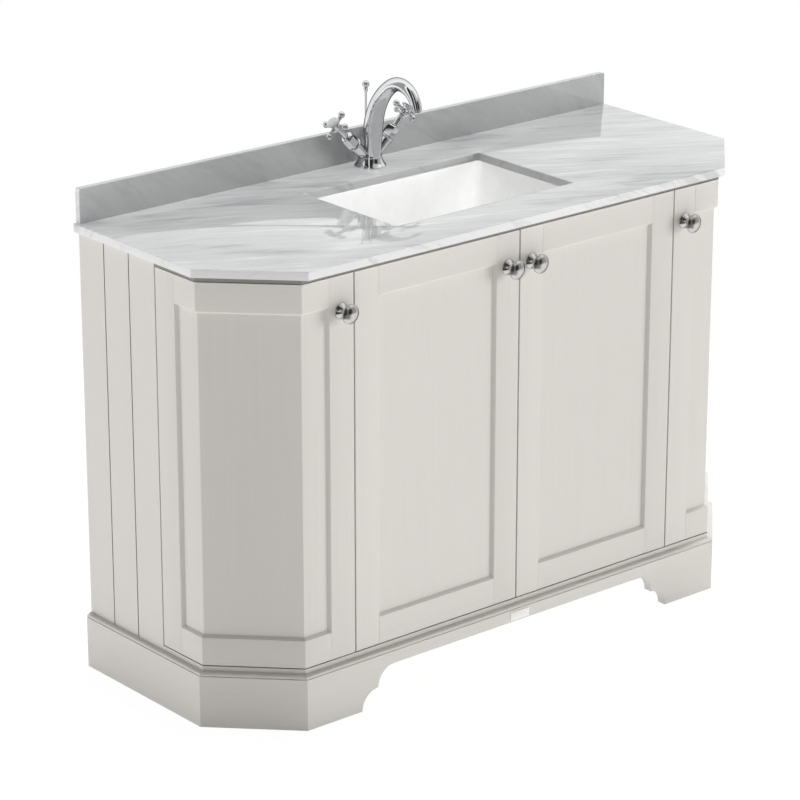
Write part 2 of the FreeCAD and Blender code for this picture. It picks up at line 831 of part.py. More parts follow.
def build_centre_door():
    """A flat door, hung at its outer edge and meeting its twin in the middle."""
    stiles = [
        stile("centre_hinge_stile", "", 0, "-centre_door_edge_x", "front_y"),
        stile("centre_meeting_stile", "-", 0, "-meeting_edge_x", "front_y"),
    ]
    start = "-(centre_door_edge_x - stile_width)"
    length = "centre_door_edge_x - meeting_edge_x - 2 * stile_width"
    rails = [rail("centre_%d_rail" % upper, upper, 0, start, "front_y", length) for upper in (False, True)]
    x = "-(centre_door_edge_x - frame_edge + tongue)"
    low = (x, "front_y + bevel_depth", "door_low_z + rail_edge - tongue")
    size = (
        "centre_door_edge_x - meeting_edge_x - 2 * (frame_edge - tongue)",
        "door_panel_thickness",
        "door_height - 2 * (rail_edge - tongue)",
    )
    panels = [box("centre_panel_board", low, size)]
    pins = door_pins("centre_pins", PIN_PLACES["centre"])
    build_door("centre", stiles, rails, panels, pins, "-(meeting_edge_x + stile_width / 2)")


def facet_outlines(outer, inner, side_y, front_x):
    """Plan outlines of the three facets of a canted layer between two depths behind the outline."""
    side_line = (side_corner("-(%s)" % outer), side_corner("-(%s)" % inner))
    front_line = (front_corner("-(%s)" % outer), front_corner("-(%s)" % inner))
    return {
        "side": [(side_line[0][0], side_y), side_line[0], side_line[1], (side_line[1][0], side_y)],
        "cant": [side_line[0], front_line[0], front_line[1], side_line[1]],
        "front": [front_line[0], (front_x, front_line[0][1]), (front_x, front_line[1][1]), front_line[1]],
    }


def build_corner_door():
    """A door of three facets round the cant, hung on the cabinet's side."""
    stiles = [
        stile("corner_hinge_stile", "", -90, "-half_width", "hinge_edge_y"),
        stile("corner_front_stile", "-", 0, "-corner_door_edge_x", "front_y"),
    ]
    outlines = facet_outlines("-overrun", "door_thickness + overrun", "hinge_edge_y", "-corner_door_edge_x")
    side_y = "hinge_edge_y - stile_width"
    runs = {
        "side": (-90, "-half_width", side_y, side_y + " - corner_y + overrun"),
        "cant": (-45, "-half_width", "corner_y", "facet_length"),
        "front": (0, "-corner_x", "front_y", "corner_x - corner_door_edge_x - stile_width"),
    }
    rails = []
    for facet, (turn, x, y, length) in runs.items():
        sector = prism("corner_%s_sector" % facet, "XY_Plane", outlines[facet], "cabinet_height")
        for upper in (False, True):
            name = "corner_%s_%d_rail" % (facet, upper)
            rails.append(common(name, rail(name + "_length", upper, turn, x, y, length), sector))
    groove_y = "hinge_edge_y - frame_edge + tongue"
    groove_x = "-(corner_door_edge_x + frame_edge - tongue)"
    layers = facet_outlines("bevel_depth", "bevel_depth + door_panel_thickness", groove_y, groove_x)
    panels = []
    for facet, outline in layers.items():
        height = "door_height - 2 * (rail_edge - tongue)"
        low = ("0", "0", "door_low_z + rail_edge - tongue")
        panels.append(prism("corner_%s_panel" % facet, "XY_Plane", outline, height, low))
    pins = door_pins("corner_pins", PIN_PLACES["corner"])
    build_door("corner", stiles, rails, panels, pins, "-(corner_door_edge_x + stile_width / 2)")


# Worktop and basin

def is_upright(edge):
    """Whether an edge runs straight up."""
    first, last = edge.firstVertex().Point, edge.lastVertex().Point
    return math.hypot(first.x - last.x, first.y - last.y) < 1e-6 < abs(first.z - last.z)


def rectangle(half_x, half_y, middle_y="0"):
    """Corners of a rectangle about a point on the Y axis."""
    return [
        ("-(%s)" % half_x, "%s - (%s)" % (middle_y, half_y)),
        (half_x, "%s - (%s)" % (middle_y, half_y)),
        (half_x, "%s + %s" % (middle_y, half_y)),
        ("-(%s)" % half_x, "%s + %s" % (middle_y, half_y)),
    ]


def build_worktop():
    """A stone slab with canted front corners, a rounded cut-out for the basin and a hole for the tap."""
    body = new_body("worktop", ("0", "0", "cabinet_height"))
    left = [
        ("-worktop_half", "back_y"),
        ("-worktop_half", "worktop_front_y + worktop_chamfer"),
        ("-worktop_half + worktop_chamfer", "worktop_front_y"),
    ]
    outline = draw_outline(body, "XY_Plane", left + [opposite(corner) for corner in reversed(left)])
    add_feature(body, "Pad", outline, "worktop_thickness")
    mouth = draw_outline(body, "XY_Plane", rectangle("cutout_width / 2", "cutout_depth / 2", "basin_y"))
    add_feature(body, "Pocket", mouth, "worktop_thickness + overrun", True)
    reach = value("cutout_width / 2 + overrun")

    def is_mouth_corner(edge):
        return is_upright(edge) and abs(edge.firstVertex().Point.x) < reach

    soften(body, "Fillet", "cutout_radius", is_mouth_corner)
    hole = draw_circle(body, "XY_Plane", ("0", "tap_y"), "tap_hole_radius")
    add_feature(body, "Pocket", hole, "worktop_thickness + overrun", True)
    top = value("worktop_thickness")
    tap_front = value("tap_y - tap_hole_radius")

    def is_shown_rim(edge):
        middle = edge.CenterOfMass
        return abs(middle.z - top) < 1e-6 and middle.y < tap_front

    soften(body, "Chamfer", "worktop_bevel", is_shown_rim)
    subpart("worktop", body)


def build_upstand():
    """A stone strip along the wall with softened top corners."""
    half = "(worktop_half - upstand_inset)"
    corners = [
        ("-%s" % half, "0"),
        (half, "0"),
        (half, "upstand_height - upstand_radius", "left", "upstand_radius"),
        ("%s - upstand_radius" % half, "upstand_height"),
        ("-%s + upstand_radius" % half, "upstand_height", "left", "upstand_radius"),
        ("-%s" % half, "upstand_height - upstand_radius"),
    ]
    subpart("upstand", prism("upstand", "XZ_Plane", corners, "upstand_thickness", ("0", "back_y", "top_z")))


def tapered_bowl(name, half_x, half_y, depth, radius):
    """A solid that narrows downwards from a rectangle, rounded everywhere but at its top."""
    body = new_body(name, ("0", "basin_y", "cabinet_height"))
    shell = add_feature(body, "Pad", draw_outline(body, "XY_Plane", rectangle(half_x, half_y)), depth, True)
    shell.setExpression("TaperAngle", bound("-basin_slope"))
    soften(body, "Fillet", radius, lambda edge: edge.BoundBox.ZMin < -1e-6)
    return body


def build_basin():
    """A ceramic bowl with leaning walls, hung by its rim under the worktop."""
    outer = tapered_bowl(
        "bowl_outside", "mouth_half_x + basin_wall", "mouth_half_y + basin_wall",
        "basin_depth + basin_wall", "basin_corner_radius + basin_wall",
    )
    inner = tapered_bowl("bowl_inside", "mouth_half_x", "mouth_half_y", "basin_depth", "basin_corner_radius")
    rim_low = ("-rim_half_x", "basin_y - rim_half_y", "sub_top_z")
    rim = box("basin_rim", rim_low, ("2 * rim_half_x", "2 * rim_half_y", "sub_top_thickness"))
    hole_low = ("0", "basin_y", "basin_under_z - overrun")
    hole = cylinder("waste_hole", hole_low, "waste_hole_radius", "basin_wall + 2 * overrun")
    bowl = cut("basin_bowl", fuse("basin_blank", [outer, rim]), [inner])
    subpart("basin", cut("basin", bowl, [hole]))


def build_clips():
    """Plates under the joint between the basin's rim and the board round it."""
    z = "sub_top_z - clip_thickness"
    clips = []
    for side, sign in (("left", "-"), ("right", "")):
        x = "%s(rim_half_x + basin_clearance / 2) - clip_width / 2" % sign
        y = "basin_y - clip_length / 2"
        clips.append(box("clip_" + side, (x, y, z), ("clip_width", "clip_length", "clip_thickness")))
        for end, lean in (("front", "-"), ("rear", "+")):
            x = "%sclip_spacing / 2 - clip_length / 2" % sign
            y = "basin_y %s (rim_half_y + basin_clearance / 2) - clip_width / 2" % lean
            size = ("clip_length", "clip_width", "clip_thickness")
            clips.append(box("clip_%s_%s" % (side, end), (x, y, z), size))
    subpart("basin_clips", group("basin_clips", clips))


# Pop-up waste and trap

TO_THE_BACK = {"turn": -90, "axis": (1, 0, 0)}
BASIN_AXIS = ("0", "basin_y", "0")


def build_waste():
    """A flanged waste through the basin with a side port for the lever, and its nut."""
    flange_top = "basin_floor_z + waste_flange_thickness"
    seat_radius = "plug_radius + plug_clearance"
    barrel = turned("waste_barrel", [
        ("waste_bore_radius", "waste_end_z"),
        ("waste_tube_radius", "waste_end_z"),
        ("waste_tube_radius", "basin_floor_z"),
        ("waste_flange_radius", "basin_floor_z"),
        ("waste_flange_radius", flange_top),
        (seat_radius, flange_top),
        (seat_radius, "plug_ledge_z"),
        ("waste_bore_radius", "plug_ledge_z"),
    ], BASIN_AXIS)
    start = ("0", "basin_y + waste_bore_radius", "lever_z")
    length = "waste_port_reach - waste_bore_radius"
    port = cylinder("waste_port", start, "waste_port_radius", length, **TO_THE_BACK)
    hollow = cylinder("waste_hollow", ("0", "basin_y", "waste_end_z"), "waste_bore_radius", "waste_length")
    middle = ("0", "basin_y", "lever_z")
    fit = "lever_ball_radius + pin_clearance"
    bore = cylinder("lever_bore", middle, fit, "waste_port_reach + overrun", **TO_THE_BACK)
    casting = fuse("waste_casting", [barrel, cut("waste_port_tube", port, [hollow])])
    subpart("waste_body", cut("waste_body", casting, [bore]))
    nut_low = "basin_under_z - waste_nut_height"
    subpart("waste_nut", turned("waste_nut", [
        ("waste_tube_radius", nut_low),
        ("waste_nut_radius", nut_low),
        ("waste_nut_radius", "basin_under_z"),
        ("waste_tube_radius", "basin_under_z"),
    ], BASIN_AXIS))


def build_plug():
    """The plug, standing open on its stem, and the lever under it on a ball in the waste's port."""
    subpart("waste_plug", turned("waste_plug", [
        ("0", "plug_foot_z"),
        ("plug_stem_radius", "plug_foot_z"),
        ("plug_stem_radius", "plug_z"),
        ("plug_radius", "plug_z"),
        ("plug_radius", "plug_z + plug_thickness"),
        ("0", "plug_z + plug_thickness"),
    ], BASIN_AXIS))
    length = "lift_rod_y + clamp_size / 2 + lever_overhang - lever_start_y"
    rod = cylinder("lever_rod", ("0", "lever_start_y", "lever_z"), "lever_radius", length, **TO_THE_BACK)
    pivot = ball("lever_ball", ("0", "lever_pivot_y", "lever_z"), "lever_ball_radius")
    subpart("plug_lever", fuse("plug_lever", [rod, pivot]))


def build_lift_rod():
    """The rod behind the spout that works the plug, and the clamp that joins it to the lever."""
    knob_z = "top_z + lift_knob_height"
    rod_low = ("0", "lift_rod_y", "rod_end_z")
    rod = cylinder("lift_rod_bar", rod_low, "lift_rod_radius", knob_z + " - rod_end_z")
    knob = ball("lift_rod_ball", ("0", "lift_rod_y", knob_z), "lift_knob_radius")
    lift_rod = subpart("lift_rod", fuse("lift_rod", [rod, knob]))
    low = ("-clamp_size / 2", "lift_rod_y - clamp_size / 2", "lever_z - clamp_hole_radius - clamp_web")
    height = "2 * (clamp_hole_radius + clamp_web) + clamp_grip"
    block = box("clamp_block", low, ("clamp_size", "clamp_size", height))
    start = ("0", "lift_rod_y - clamp_size / 2 - overrun", "lever_z")
    hole = cylinder("clamp_hole", start, "clamp_hole_radius", "clamp_size + 2 * overrun", **TO_THE_BACK)
    subpart("rod_clamp", cut("rod_clamp", block, [hole, lift_rod]))


def build_trap():
    """A bottle trap held on the waste by its neck, with its outlet pipe to the wall."""
    inner = "trap_radius - trap_wall"
    vessel = turned("trap_vessel", [
        ("waste_tube_radius", "waste_end_z"),
        ("waste_tube_radius", "trap_top_z"),
        ("waste_tube_radius + trap_wall", "trap_top_z"),
        ("trap_radius", "trap_shoulder_z"),
        ("trap_radius", "trap_end_z"),
        ("0", "trap_end_z"),
        ("0", "trap_end_z + trap_wall"),
        (inner, "trap_end_z + trap_wall"),
        (inner, "waste_end_z"),
    ], BASIN_AXIS)
    start = ("0", "basin_y + trap_radius - trap_wall", "outlet_z")
    branch_radius = "spigot_radius + branch_wall"
    branch = cylinder("trap_branch", start, branch_radius, "trap_wall + branch_length", **TO_THE_BACK)
    hollow = cylinder("trap_hollow", ("0", "basin_y", "trap_end_z"), inner, "trap_height")
    middle = ("0", "basin_y", "outlet_z")
    drain_length = "trap_radius + branch_length + overrun"
    drain = cylinder("trap_drain", middle, "spigot_radius", drain_length, **TO_THE_BACK)
    casting = fuse("trap_casting", [vessel, cut("trap_branch_tube", branch, [hollow])])
    subpart("bottle_trap", cut("bottle_trap", casting, [drain]))
    spigot_start = ("0", "outlet_start_y", "outlet_z")
    spigot = cylinder("outlet_spigot", spigot_start, "spigot_radius", "spigot_length", **TO_THE_BACK)
    pipe_start = ("0", "outlet_start_y + spigot_length", "outlet_z")
    pipe_length = "outlet_end_y - outlet_start_y - spigot_length"
    pipe = cylinder("outlet_pipe", pipe_start, "outlet_radius", pipe_length, **TO_THE_BACK)
    bore_length = "outlet_end_y - basin_y + overrun"
    bore = cylinder("outlet_bore", middle, "outlet_radius - outlet_wall", bore_length, **TO_THE_BACK)
    subpart("trap_outlet", cut("trap_outlet", fuse("outlet_blank", [spigot, pipe]), [bore]))


# Tap

SPOUT_BELLY_SHARE = 0.22
SPOUT_RISE_RINGS = 2
SPOUT_SWEEP_RINGS = 5
SPOUT_BEND_RINGS = 7


def spout_rings():
    """Rings along the spout: how far along, how far forward, how high, and the slope there.

    It rises straight, leans forward along a wide arc, and bends over along a smaller arc in line with it.
    """
    foot, foot_reach, rise = (value("spout_" + name) for name in ("foot_height", "foot_reach", "rise"))
    reach, height, radius = (value("spout_" + name) for name in ("centre_reach", "centre_height", "radius"))
    across = reach - foot_reach
    up = height - foot - rise
    wide = (across ** 2 + up ** 2 - radius ** 2) / (2 * (across - radius))
    sweep = math.atan2(up, wide - across)
    bend = math.pi - sweep - math.radians(value("spout_end"))
    rings = []
    for step in range(SPOUT_RISE_RINGS):
        way = rise * step / SPOUT_RISE_RINGS
        rings.append((way, foot_reach, foot + way, math.pi / 2))
    for step in range(SPOUT_SWEEP_RINGS):
        turn = sweep * step / SPOUT_SWEEP_RINGS
        forward = foot_reach + wide * (1 - math.cos(turn))
        rings.append((rise + wide * turn, forward, foot + rise + wide * math.sin(turn), math.pi / 2 - turn))
    for step in range(SPOUT_BEND_RINGS + 1):
        turn = bend * step / SPOUT_BEND_RINGS
        around = math.pi - sweep - turn
        forward = reach + radius * math.cos(around)
        way = rise + wide * sweep + radius * turn
        rings.append((way, forward, height + radius * math.sin(around), around - math.pi / 2))
    return rings


def build_spout():
    """A spout that swells as it rises, bends over and tapers to its tip."""
    first, middle, last = (value("spout_%s_section" % name) for name in ("foot", "belly", "tip"))
    rings = spout_rings()
    total = rings[-1][0]
    wires = []
    for way, forward, up, slope in rings:
        share = way / total
        if share < SPOUT_BELLY_SHARE:
            section = first + (middle - first) * share / SPOUT_BELLY_SHARE
        else:
            section = middle + (last - middle) * (share - SPOUT_BELLY_SHARE) / (1 - SPOUT_BELLY_SHARE)
        centre = VECTOR(0, -forward, up)
        along = VECTOR(0, -math.cos(slope), math.sin(slope))
        wires.append(Part.Wire(Part.Edge(Part.Circle(centre, along, section))))
    spout = DOCUMENT.addObject("Part::Feature", "tap_spout")
    spout.Shape = Part.makeLoft(wires, True)
    return place(spout, ("0", "tap_y", "top_z"))


def build_tap():
    """The cast body of the tap with its foot, spout and leaning arms, and what holds it to the worktop."""
    foot = turned("tap_foot", [
        ("0", "0"),
        ("tap_foot_radius", "0"),
        ("tap_foot_radius", "tap_foot_edge", "right", "tap_flare_radius"),
        ("tap_waist_radius", "tap_waist_height"),
        ("tap_crown_radius", "tap_crown_height"),
        ("0", "tap_crown_height"),
    ], ("0", "tap_y", "top_z"))
    arm_start = ("0", "tap_y", "top_z + valve_axis_height")
    arms = [cylinder(side + "_arm", arm_start, "arm_radius", "arm_length", turn, (0, 1, 0))
            for side, turn in (("left", -value("valve_lean")), ("right", value("valve_lean")))]
    casting = fuse("tap_casting", [foot, build_spout()] + arms)
    below = "top_z - overrun"
    holes = [
        cylinder("rod_bore", ("0", "lift_rod_y", below), "lift_rod_radius + lift_rod_clearance",
                 "lift_knob_height"),
        cylinder("stud_bore", ("0", "tap_y - stud_offset", below), "stud_radius", "overrun + stud_depth"),
        cylinder("left_inlet", ("-inlet_offset", "tap_y", below), "inlet_radius", "overrun + inlet_depth"),
        cylinder("right_inlet", ("inlet_offset", "tap_y", below), "inlet_radius", "overrun + inlet_depth"),
    ]
    subpart("tap_body", cut("tap_body", casting, holes))
    tip = (
        "0",
        "tap_y - spout_centre_reach - spout_radius * cos(spout_end)",
        "top_z + spout_centre_height + spout_radius * sin(spout_end)",
    )
    downward = 180 - value("spout_end")
    subpart("aerator", cylinder("aerator", tip, "aerator_radius", "aerator_height", downward, (1, 0, 0)))
    stud_low = ("0", "tap_y - stud_offset", "top_z + stud_depth - stud_length")
    stud = subpart("tap_stud", cylinder("tap_stud", stud_low, "stud_radius", "stud_length"))
    washer_z = "cabinet_height - washer_thickness"
    disc = cylinder("washer_disc", ("0", "tap_y", washer_z), "washer_radius", "washer_thickness")
    slot = box(
        "washer_slot",
        ("-inlet_offset - inlet_radius", "tap_y - inlet_radius", washer_z + " - overrun"),
        (
            "2 * (inlet_offset + inlet_radius)",
            "washer_radius + inlet_radius + overrun",
            "washer_thickness + 2 * overrun",
        ),
    )
    subpart("tap_washer", cut("tap_washer", disc, [slot, stud]))
    nut_low = ("0", "tap_y - stud_offset", washer_z + " - stud_nut_height")
    nut_blank = primitive("Prism", "stud_nut_blank", nut_low, 0, (0, 0, 1),
                          Circumradius="stud_nut_radius", Height="stud_nut_height")
    nut_blank.Polygon = 6
    subpart("tap_nut", cut("tap_nut", nut_blank, [stud]))


def on_valve(name, piece):
    """Set a piece that was made upright on the left valve's axis."""
    thing = group(name, [piece])
    return place(thing, ("0", "tap_y", "top_z + valve_axis_height"), -value("valve_lean"), (0, 1, 0))


def build_valves():
    """A six-sided bonnet with a collar on each arm, and a cross handle that turns in it."""
    fit = "spindle_radius + pin_clearance"
    bonnet = primitive("Prism", "bonnet_nut", ("0", "0", "bonnet_start"), 0, (0, 0, 1),
                       Circumradius="bonnet_radius", Height="bonnet_length")
    bonnet.Polygon = 6
    collar = cylinder("bonnet_collar", ("0", "0", "collar_start"), "collar_radius", "collar_length")
    bore_start = "handle_start - spindle_length"
    bore = cylinder("bonnet_bore", ("0", "0", bore_start + " - handle_gap"), fit, "spindle_length + overrun")
    left = on_valve("left_valve_bonnet", cut("valve_bonnet", fuse("bonnet_blank", [bonnet, collar]), [bore]))
    subpart("valve_bonnets", group("valve_bonnets", [left, mirrored("right_valve_bonnet", left)]))
    hub = cylinder("handle_hub", ("0", "0", "handle_start"), "handle_hub_radius", "handle_hub_length")
    length = "spindle_length + spoke_height"
    spindle = cylinder("handle_spindle", ("0", "0", bore_start), "spindle_radius", length)
    spoke_z = "handle_start + spoke_height"
    reach = "(handle_span / 2 - spoke_ball_radius)"
    span = "2 * " + reach
    spokes = [
        cylinder("spoke_across", ("-" + reach, "0", spoke_z), "spoke_radius", span, 90, (0, 1, 0)),
        cylinder("spoke_along", ("0", "-" + reach, spoke_z), "spoke_radius", span, **TO_THE_BACK),
    ]
    balls = []
    for number, (x, y) in enumerate((("-" + reach, "0"), (reach, "0"), ("0", "-" + reach), ("0", reach))):
        balls.append(ball("spoke_ball_%d" % number, (x, y, spoke_z), "spoke_ball_radius"))
    cross = fuse("handle_cross", [hub, spindle] + spokes + balls)
    handle = place(group("handle_at_rest", [cross]), turn=value("handle_turn"))
    left_handle = subpart("left_tap_handle", on_valve("left_tap_handle", handle))
    subpart("right_tap_handle", mirrored("right_tap_handle", left_handle))
    cap_z = "handle_start + handle_hub_length"
    dome_radius = "(index_cap_radius ^ 2 + index_cap_height ^ 2) / (2 * index_cap_height)"
    cap = turned("index_disc", [
        ("0", cap_z),
        ("index_cap_radius", cap_z, "left", dome_radius),
        ("0", cap_z + " + index_cap_height"),
    ])
    left_cap = subpart("left_index_cap", on_valve("left_index_cap", cap))
    subpart("right_index_cap", mirrored("right_index_cap", left_cap))


def check_document():
    """Stop if any object failed or any piece is empty or broken."""
    DOCUMENT.recompute()
    for thing in DOCUMENT.Objects:
        if "Invalid" in thing.State or "Error" in thing.State:
            raise RuntimeError("%s failed: %s" % (thing.Label, thing.State))
    for thing in SUBPARTS:
        if thing.Shape.isNull() or not thing.Shape.isValid() or not thing.Shape.Solids:
            raise RuntimeError("%s has no sound shape" % thing.Label)


def main():
    """Build every piece and write each to its own file."""
    pegs = build_shelves()
    build_side_panel([pegs["side_rear"], pegs["side_front"]])
    build_divider([pegs["divider_rear"], pegs["divider_front"]])
    build_base_board()
    build_sub_top()
    build_back()
    build_catches()
    build_plinth()
    build_moulding()
    build_plate()
    build_corner_door()
    build_centre_door()
    build_worktop()
    build_upstand()
    build_basin()
    build_clips()
    build_waste()
    build_plug()
    build_lift_rod()
    build_trap()
    build_tap()
    build_valves()
    check_document()
    os.makedirs("parts", exist_ok=True)
    for thing in SUBPARTS:
        thing.Shape.exportStep("parts/%s.step" % thing.Label)
        print("%-28s solids %d  volume %12.1f" % (thing.Label, len(thing.Shape.Solids), thing.Shape.Volume))


main()
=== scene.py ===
"""The looks of a bathroom vanity unit with canted corners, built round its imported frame.

The frame has +X to the right, +Y to the wall and +Z up, in metres. Profiles of turned pieces are in
millimetres: each corner is two coordinates and, if it is rounded, the reach of its rounding.
"""

import json
import math

import bmesh
import bpy
from bpy.props import FloatProperty, FloatVectorProperty, PointerProperty
from bpy.types import Operator, Panel, PropertyGroup
from mathutils import Matrix, Vector


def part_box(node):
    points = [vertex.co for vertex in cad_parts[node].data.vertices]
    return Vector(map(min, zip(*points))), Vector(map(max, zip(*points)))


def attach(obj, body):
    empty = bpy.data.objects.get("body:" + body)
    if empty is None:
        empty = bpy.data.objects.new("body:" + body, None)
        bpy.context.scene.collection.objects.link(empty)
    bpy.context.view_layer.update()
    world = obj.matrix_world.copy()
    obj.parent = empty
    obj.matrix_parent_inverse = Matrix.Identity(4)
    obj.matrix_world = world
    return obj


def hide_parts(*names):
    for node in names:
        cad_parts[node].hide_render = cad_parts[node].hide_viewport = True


bl_info = {
    "name": "Vanity unit looks",
    "version": (1, 0, 0),
    "blender": (4, 5, 0),
    "location": "View3D > Sidebar > Vanity",
    "description": "Dresses the frame of a vanity unit with finished boards, stone, ceramic and metal",
    "category": "Object",
}

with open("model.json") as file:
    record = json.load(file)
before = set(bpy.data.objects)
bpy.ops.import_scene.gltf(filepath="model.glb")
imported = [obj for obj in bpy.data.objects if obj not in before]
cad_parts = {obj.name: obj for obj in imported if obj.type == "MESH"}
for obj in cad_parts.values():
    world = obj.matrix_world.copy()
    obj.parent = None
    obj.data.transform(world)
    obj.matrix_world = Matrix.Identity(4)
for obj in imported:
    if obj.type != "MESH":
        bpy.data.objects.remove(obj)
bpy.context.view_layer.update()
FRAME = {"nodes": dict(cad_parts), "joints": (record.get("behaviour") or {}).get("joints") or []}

MM = 0.001
QUARTER_TURN = math.pi / 2
SIDES = ("left", "right")
DOORS = ("corner", "centre")
ROOT = "cabinet"
MIRROR = Matrix.Scale(-1, 4, (1, 0, 0))
ALONG_X = Matrix.Rotation(QUARTER_TURN, 4, "Y")


# Places read from the frame

def middle_of(node):
    """The middle of a node's box."""
    low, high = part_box(node)
    return (low + high) / 2


def size_of(node):
    """The size of a node's box in millimetres."""
    low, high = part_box(node)
    return (high - low) / MM


def foot_of(node):
    """The height of a node's foot."""
    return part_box(node)[0].z


SLAB_Z, TOP_Z = (corner.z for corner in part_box("worktop"))
BASIN_LOW, BASIN_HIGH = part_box("basin")
BASIN_Y = middle_of("basin").y
NOZZLE = middle_of("aerator")
TAP_Y = middle_of("valve_bonnets").y
ROD_Y = middle_of("lift_rod").y
LEVER_JOINT = next(joint for joint in FRAME["joints"] if joint["name"] == "lever_swing")
LEVER_PIVOT = Vector(LEVER_JOINT["pos_m"])


# Settings

def colour(name, description, default):
    """A colour that a user may change."""
    return FloatVectorProperty(
        name=name, description=description, default=default, subtype="COLOR", size=3, min=0, max=1)


def length(name, description, default):
    """A length in metres that a user may change."""
    return FloatProperty(name=name, description=description, default=default, unit="LENGTH", min=0)


def share(name, description, default):
    """A plain strength or share that a user may change."""
    return FloatProperty(name=name, description=description, default=default, min=0)


def turn(name, description, degrees):
    """An angle that a user may change."""
    return FloatProperty(
        name=name, description=description, default=math.radians(degrees), subtype="ANGLE")


class PaintSettings(PropertyGroup):
    """Painted boards."""
    paint: colour("Paint", "Satin paint on the doors, sides and plinth", (0.735, 0.71, 0.668))
    inside: colour("Inside", "Paint on the boards inside the cupboards", (0.72, 0.70, 0.67))
    grain: share("Grain", "How far the paint's tone follows the wood's grain", 0.012)
    ease: length("Board edge", "Rounding along the edges of boards", 0.0007)


class StoneSettings(PropertyGroup):
    """Worktop and upstand."""
    body: colour("Stone", "Main tone of the polished stone", (0.60, 0.61, 0.61))
    dark: colour("Dark veins", "Tone of the darker layers", (0.40, 0.41, 0.415))
    pale: colour("Pale veins", "Tone of the paler layers", (0.79, 0.795, 0.79))
    edge: colour("Honed edge", "Main tone of the unpolished edges", (0.90, 0.905, 0.90))
    ease: length("Stone edge", "Rounding along the edges of the stone", 0.0006)


class FittingSettings(PropertyGroup):
    """Tap, basin, knobs and plumbing."""
    glaze: colour("Glaze", "White glaze of the basin", (0.95, 0.95, 0.945))
    chrome: colour("Chrome", "Polished plate on the tap and waste", (0.84, 0.85, 0.86))
    nickel: colour("Nickel", "Polished nickel of the knobs", (0.66, 0.65, 0.63))
    steel: colour("Steel", "Plain steel of pins, pegs and clips", (0.56, 0.57, 0.58))
    plastic: colour("Plastic", "Moulded plastic of the trap", (0.80, 0.80, 0.79))
    spout_radius: length("Spout", "Radius of the spout at its widest", 0.0175)


class StageSettings(PropertyGroup):
    """Camera and light."""
    camera_place: FloatVectorProperty(
        name="Camera", description="Where the camera stands", default=(-3.7591, -4.3633, 2.5136),
        subtype="TRANSLATION", unit="LENGTH")
    camera_pitch: turn("Pitch", "Camera's angle from straight down", 70.0567)
    camera_yaw: turn("Yaw", "Camera's turn about the upright", -40.0436)
    lens: FloatProperty(name="Lens", description="Focal length", default=154.66, unit="CAMERA")
    ambient: share("Ambient", "Light from above the horizon", 0.15)
    overhead: share("Overhead", "Strength of the light above the worktop", 2.35)
    front: share("Front", "Strength of the light from the front right", 1.36)
    side: share("Side", "Strength of the light from the left", 1.10)
    bowl: share("Bowl", "Strength of the light that only the bowl takes up", 2.4)
    bounce: share("Bounce", "Light from below the horizon, beyond the floor", 1.15)
    glow: share("Glow", "Light that the floor gives back in shadow too", 0.48)
    floor: share("Floor", "How much light the floor gives back", 0.58)


class VanitySettings(PropertyGroup):
    """All that a user may change."""
    paint: PointerProperty(type=PaintSettings)
    stone: PointerProperty(type=StoneSettings)
    fittings: PointerProperty(type=FittingSettings)
    stage: PointerProperty(type=StageSettings)


def settings():
    """The settings kept on the scene."""
    return bpy.context.scene.vanity


# Node trees

def feed(tree, node, inputs):
    """Set or link the inputs of a node."""
    for key, given in inputs.items():
        if isinstance(given, bpy.types.NodeSocket):
            tree.links.new(given, node.inputs[key])
        else:
            node.inputs[key].default_value = given


def add_node(tree, kind, inputs=None, **options):
    """Add a node, set its options, then set or link its inputs."""
    node = tree.nodes.new(kind)
    for name, option in options.items():
        setattr(node, name, option)
    feed(tree, node, inputs or {})
    return node


def new_tree(name, family, inputs, outputs):
    """A node group with its sockets, its input sockets and its end node."""
    tree = bpy.data.node_groups.new(name, family + "NodeTree")
    for way, sockets in (("INPUT", inputs), ("OUTPUT", outputs)):
        for label, kind in sockets.items():
            tree.interface.new_socket(label, in_out=way, socket_type="NodeSocket" + kind)
    return tree, add_node(tree, "NodeGroupInput").outputs, add_node(tree, "NodeGroupOutput")


def noise(tree, vector, scale, detail, roughness, distortion=0):
    """A noise value from 0 to 1."""
    inputs = {"Vector": vector, "Scale": scale, "Detail": detail, "Roughness": roughness}
    return add_node(tree, "ShaderNodeTexNoise", {**inputs, "Distortion": distortion}).outputs[0]


def spread(tree, given, low, high, to_low, to_high, smooth=False):
    """Map a range of values to another."""
    inputs = {"Value": given, "From Min": low, "From Max": high, "To Min": to_low, "To Max": to_high}
    kind = "SMOOTHSTEP" if smooth else "LINEAR"
    return add_node(tree, "ShaderNodeMapRange", inputs, interpolation_type=kind).outputs["Result"]


def arithmetic(tree, kind, *values):
    """The result of one operation on some values."""
    return add_node(tree, "ShaderNodeMath", dict(enumerate(values)), operation=kind).outputs[0]


def mix_colours(tree, factor, first, second):
    """A colour between two others."""
    node = add_node(tree, "ShaderNodeMix", {0: factor, 6: first, 7: second}, data_type="RGBA")
    return node.outputs[2]


def on_vectors(tree, kind, inputs):
    """The outputs of one operation on vectors."""
    return add_node(tree, "ShaderNodeVectorMath", inputs, operation=kind).outputs


def scale_colour(tree, tint, factor):
    """A colour made lighter or darker by a value."""
    return on_vectors(tree, "SCALE", {0: tint, "Scale": factor})[0]


def object_coordinates(tree):
    """Places on the piece itself."""
    return add_node(tree, "ShaderNodeTexCoord").outputs["Object"]


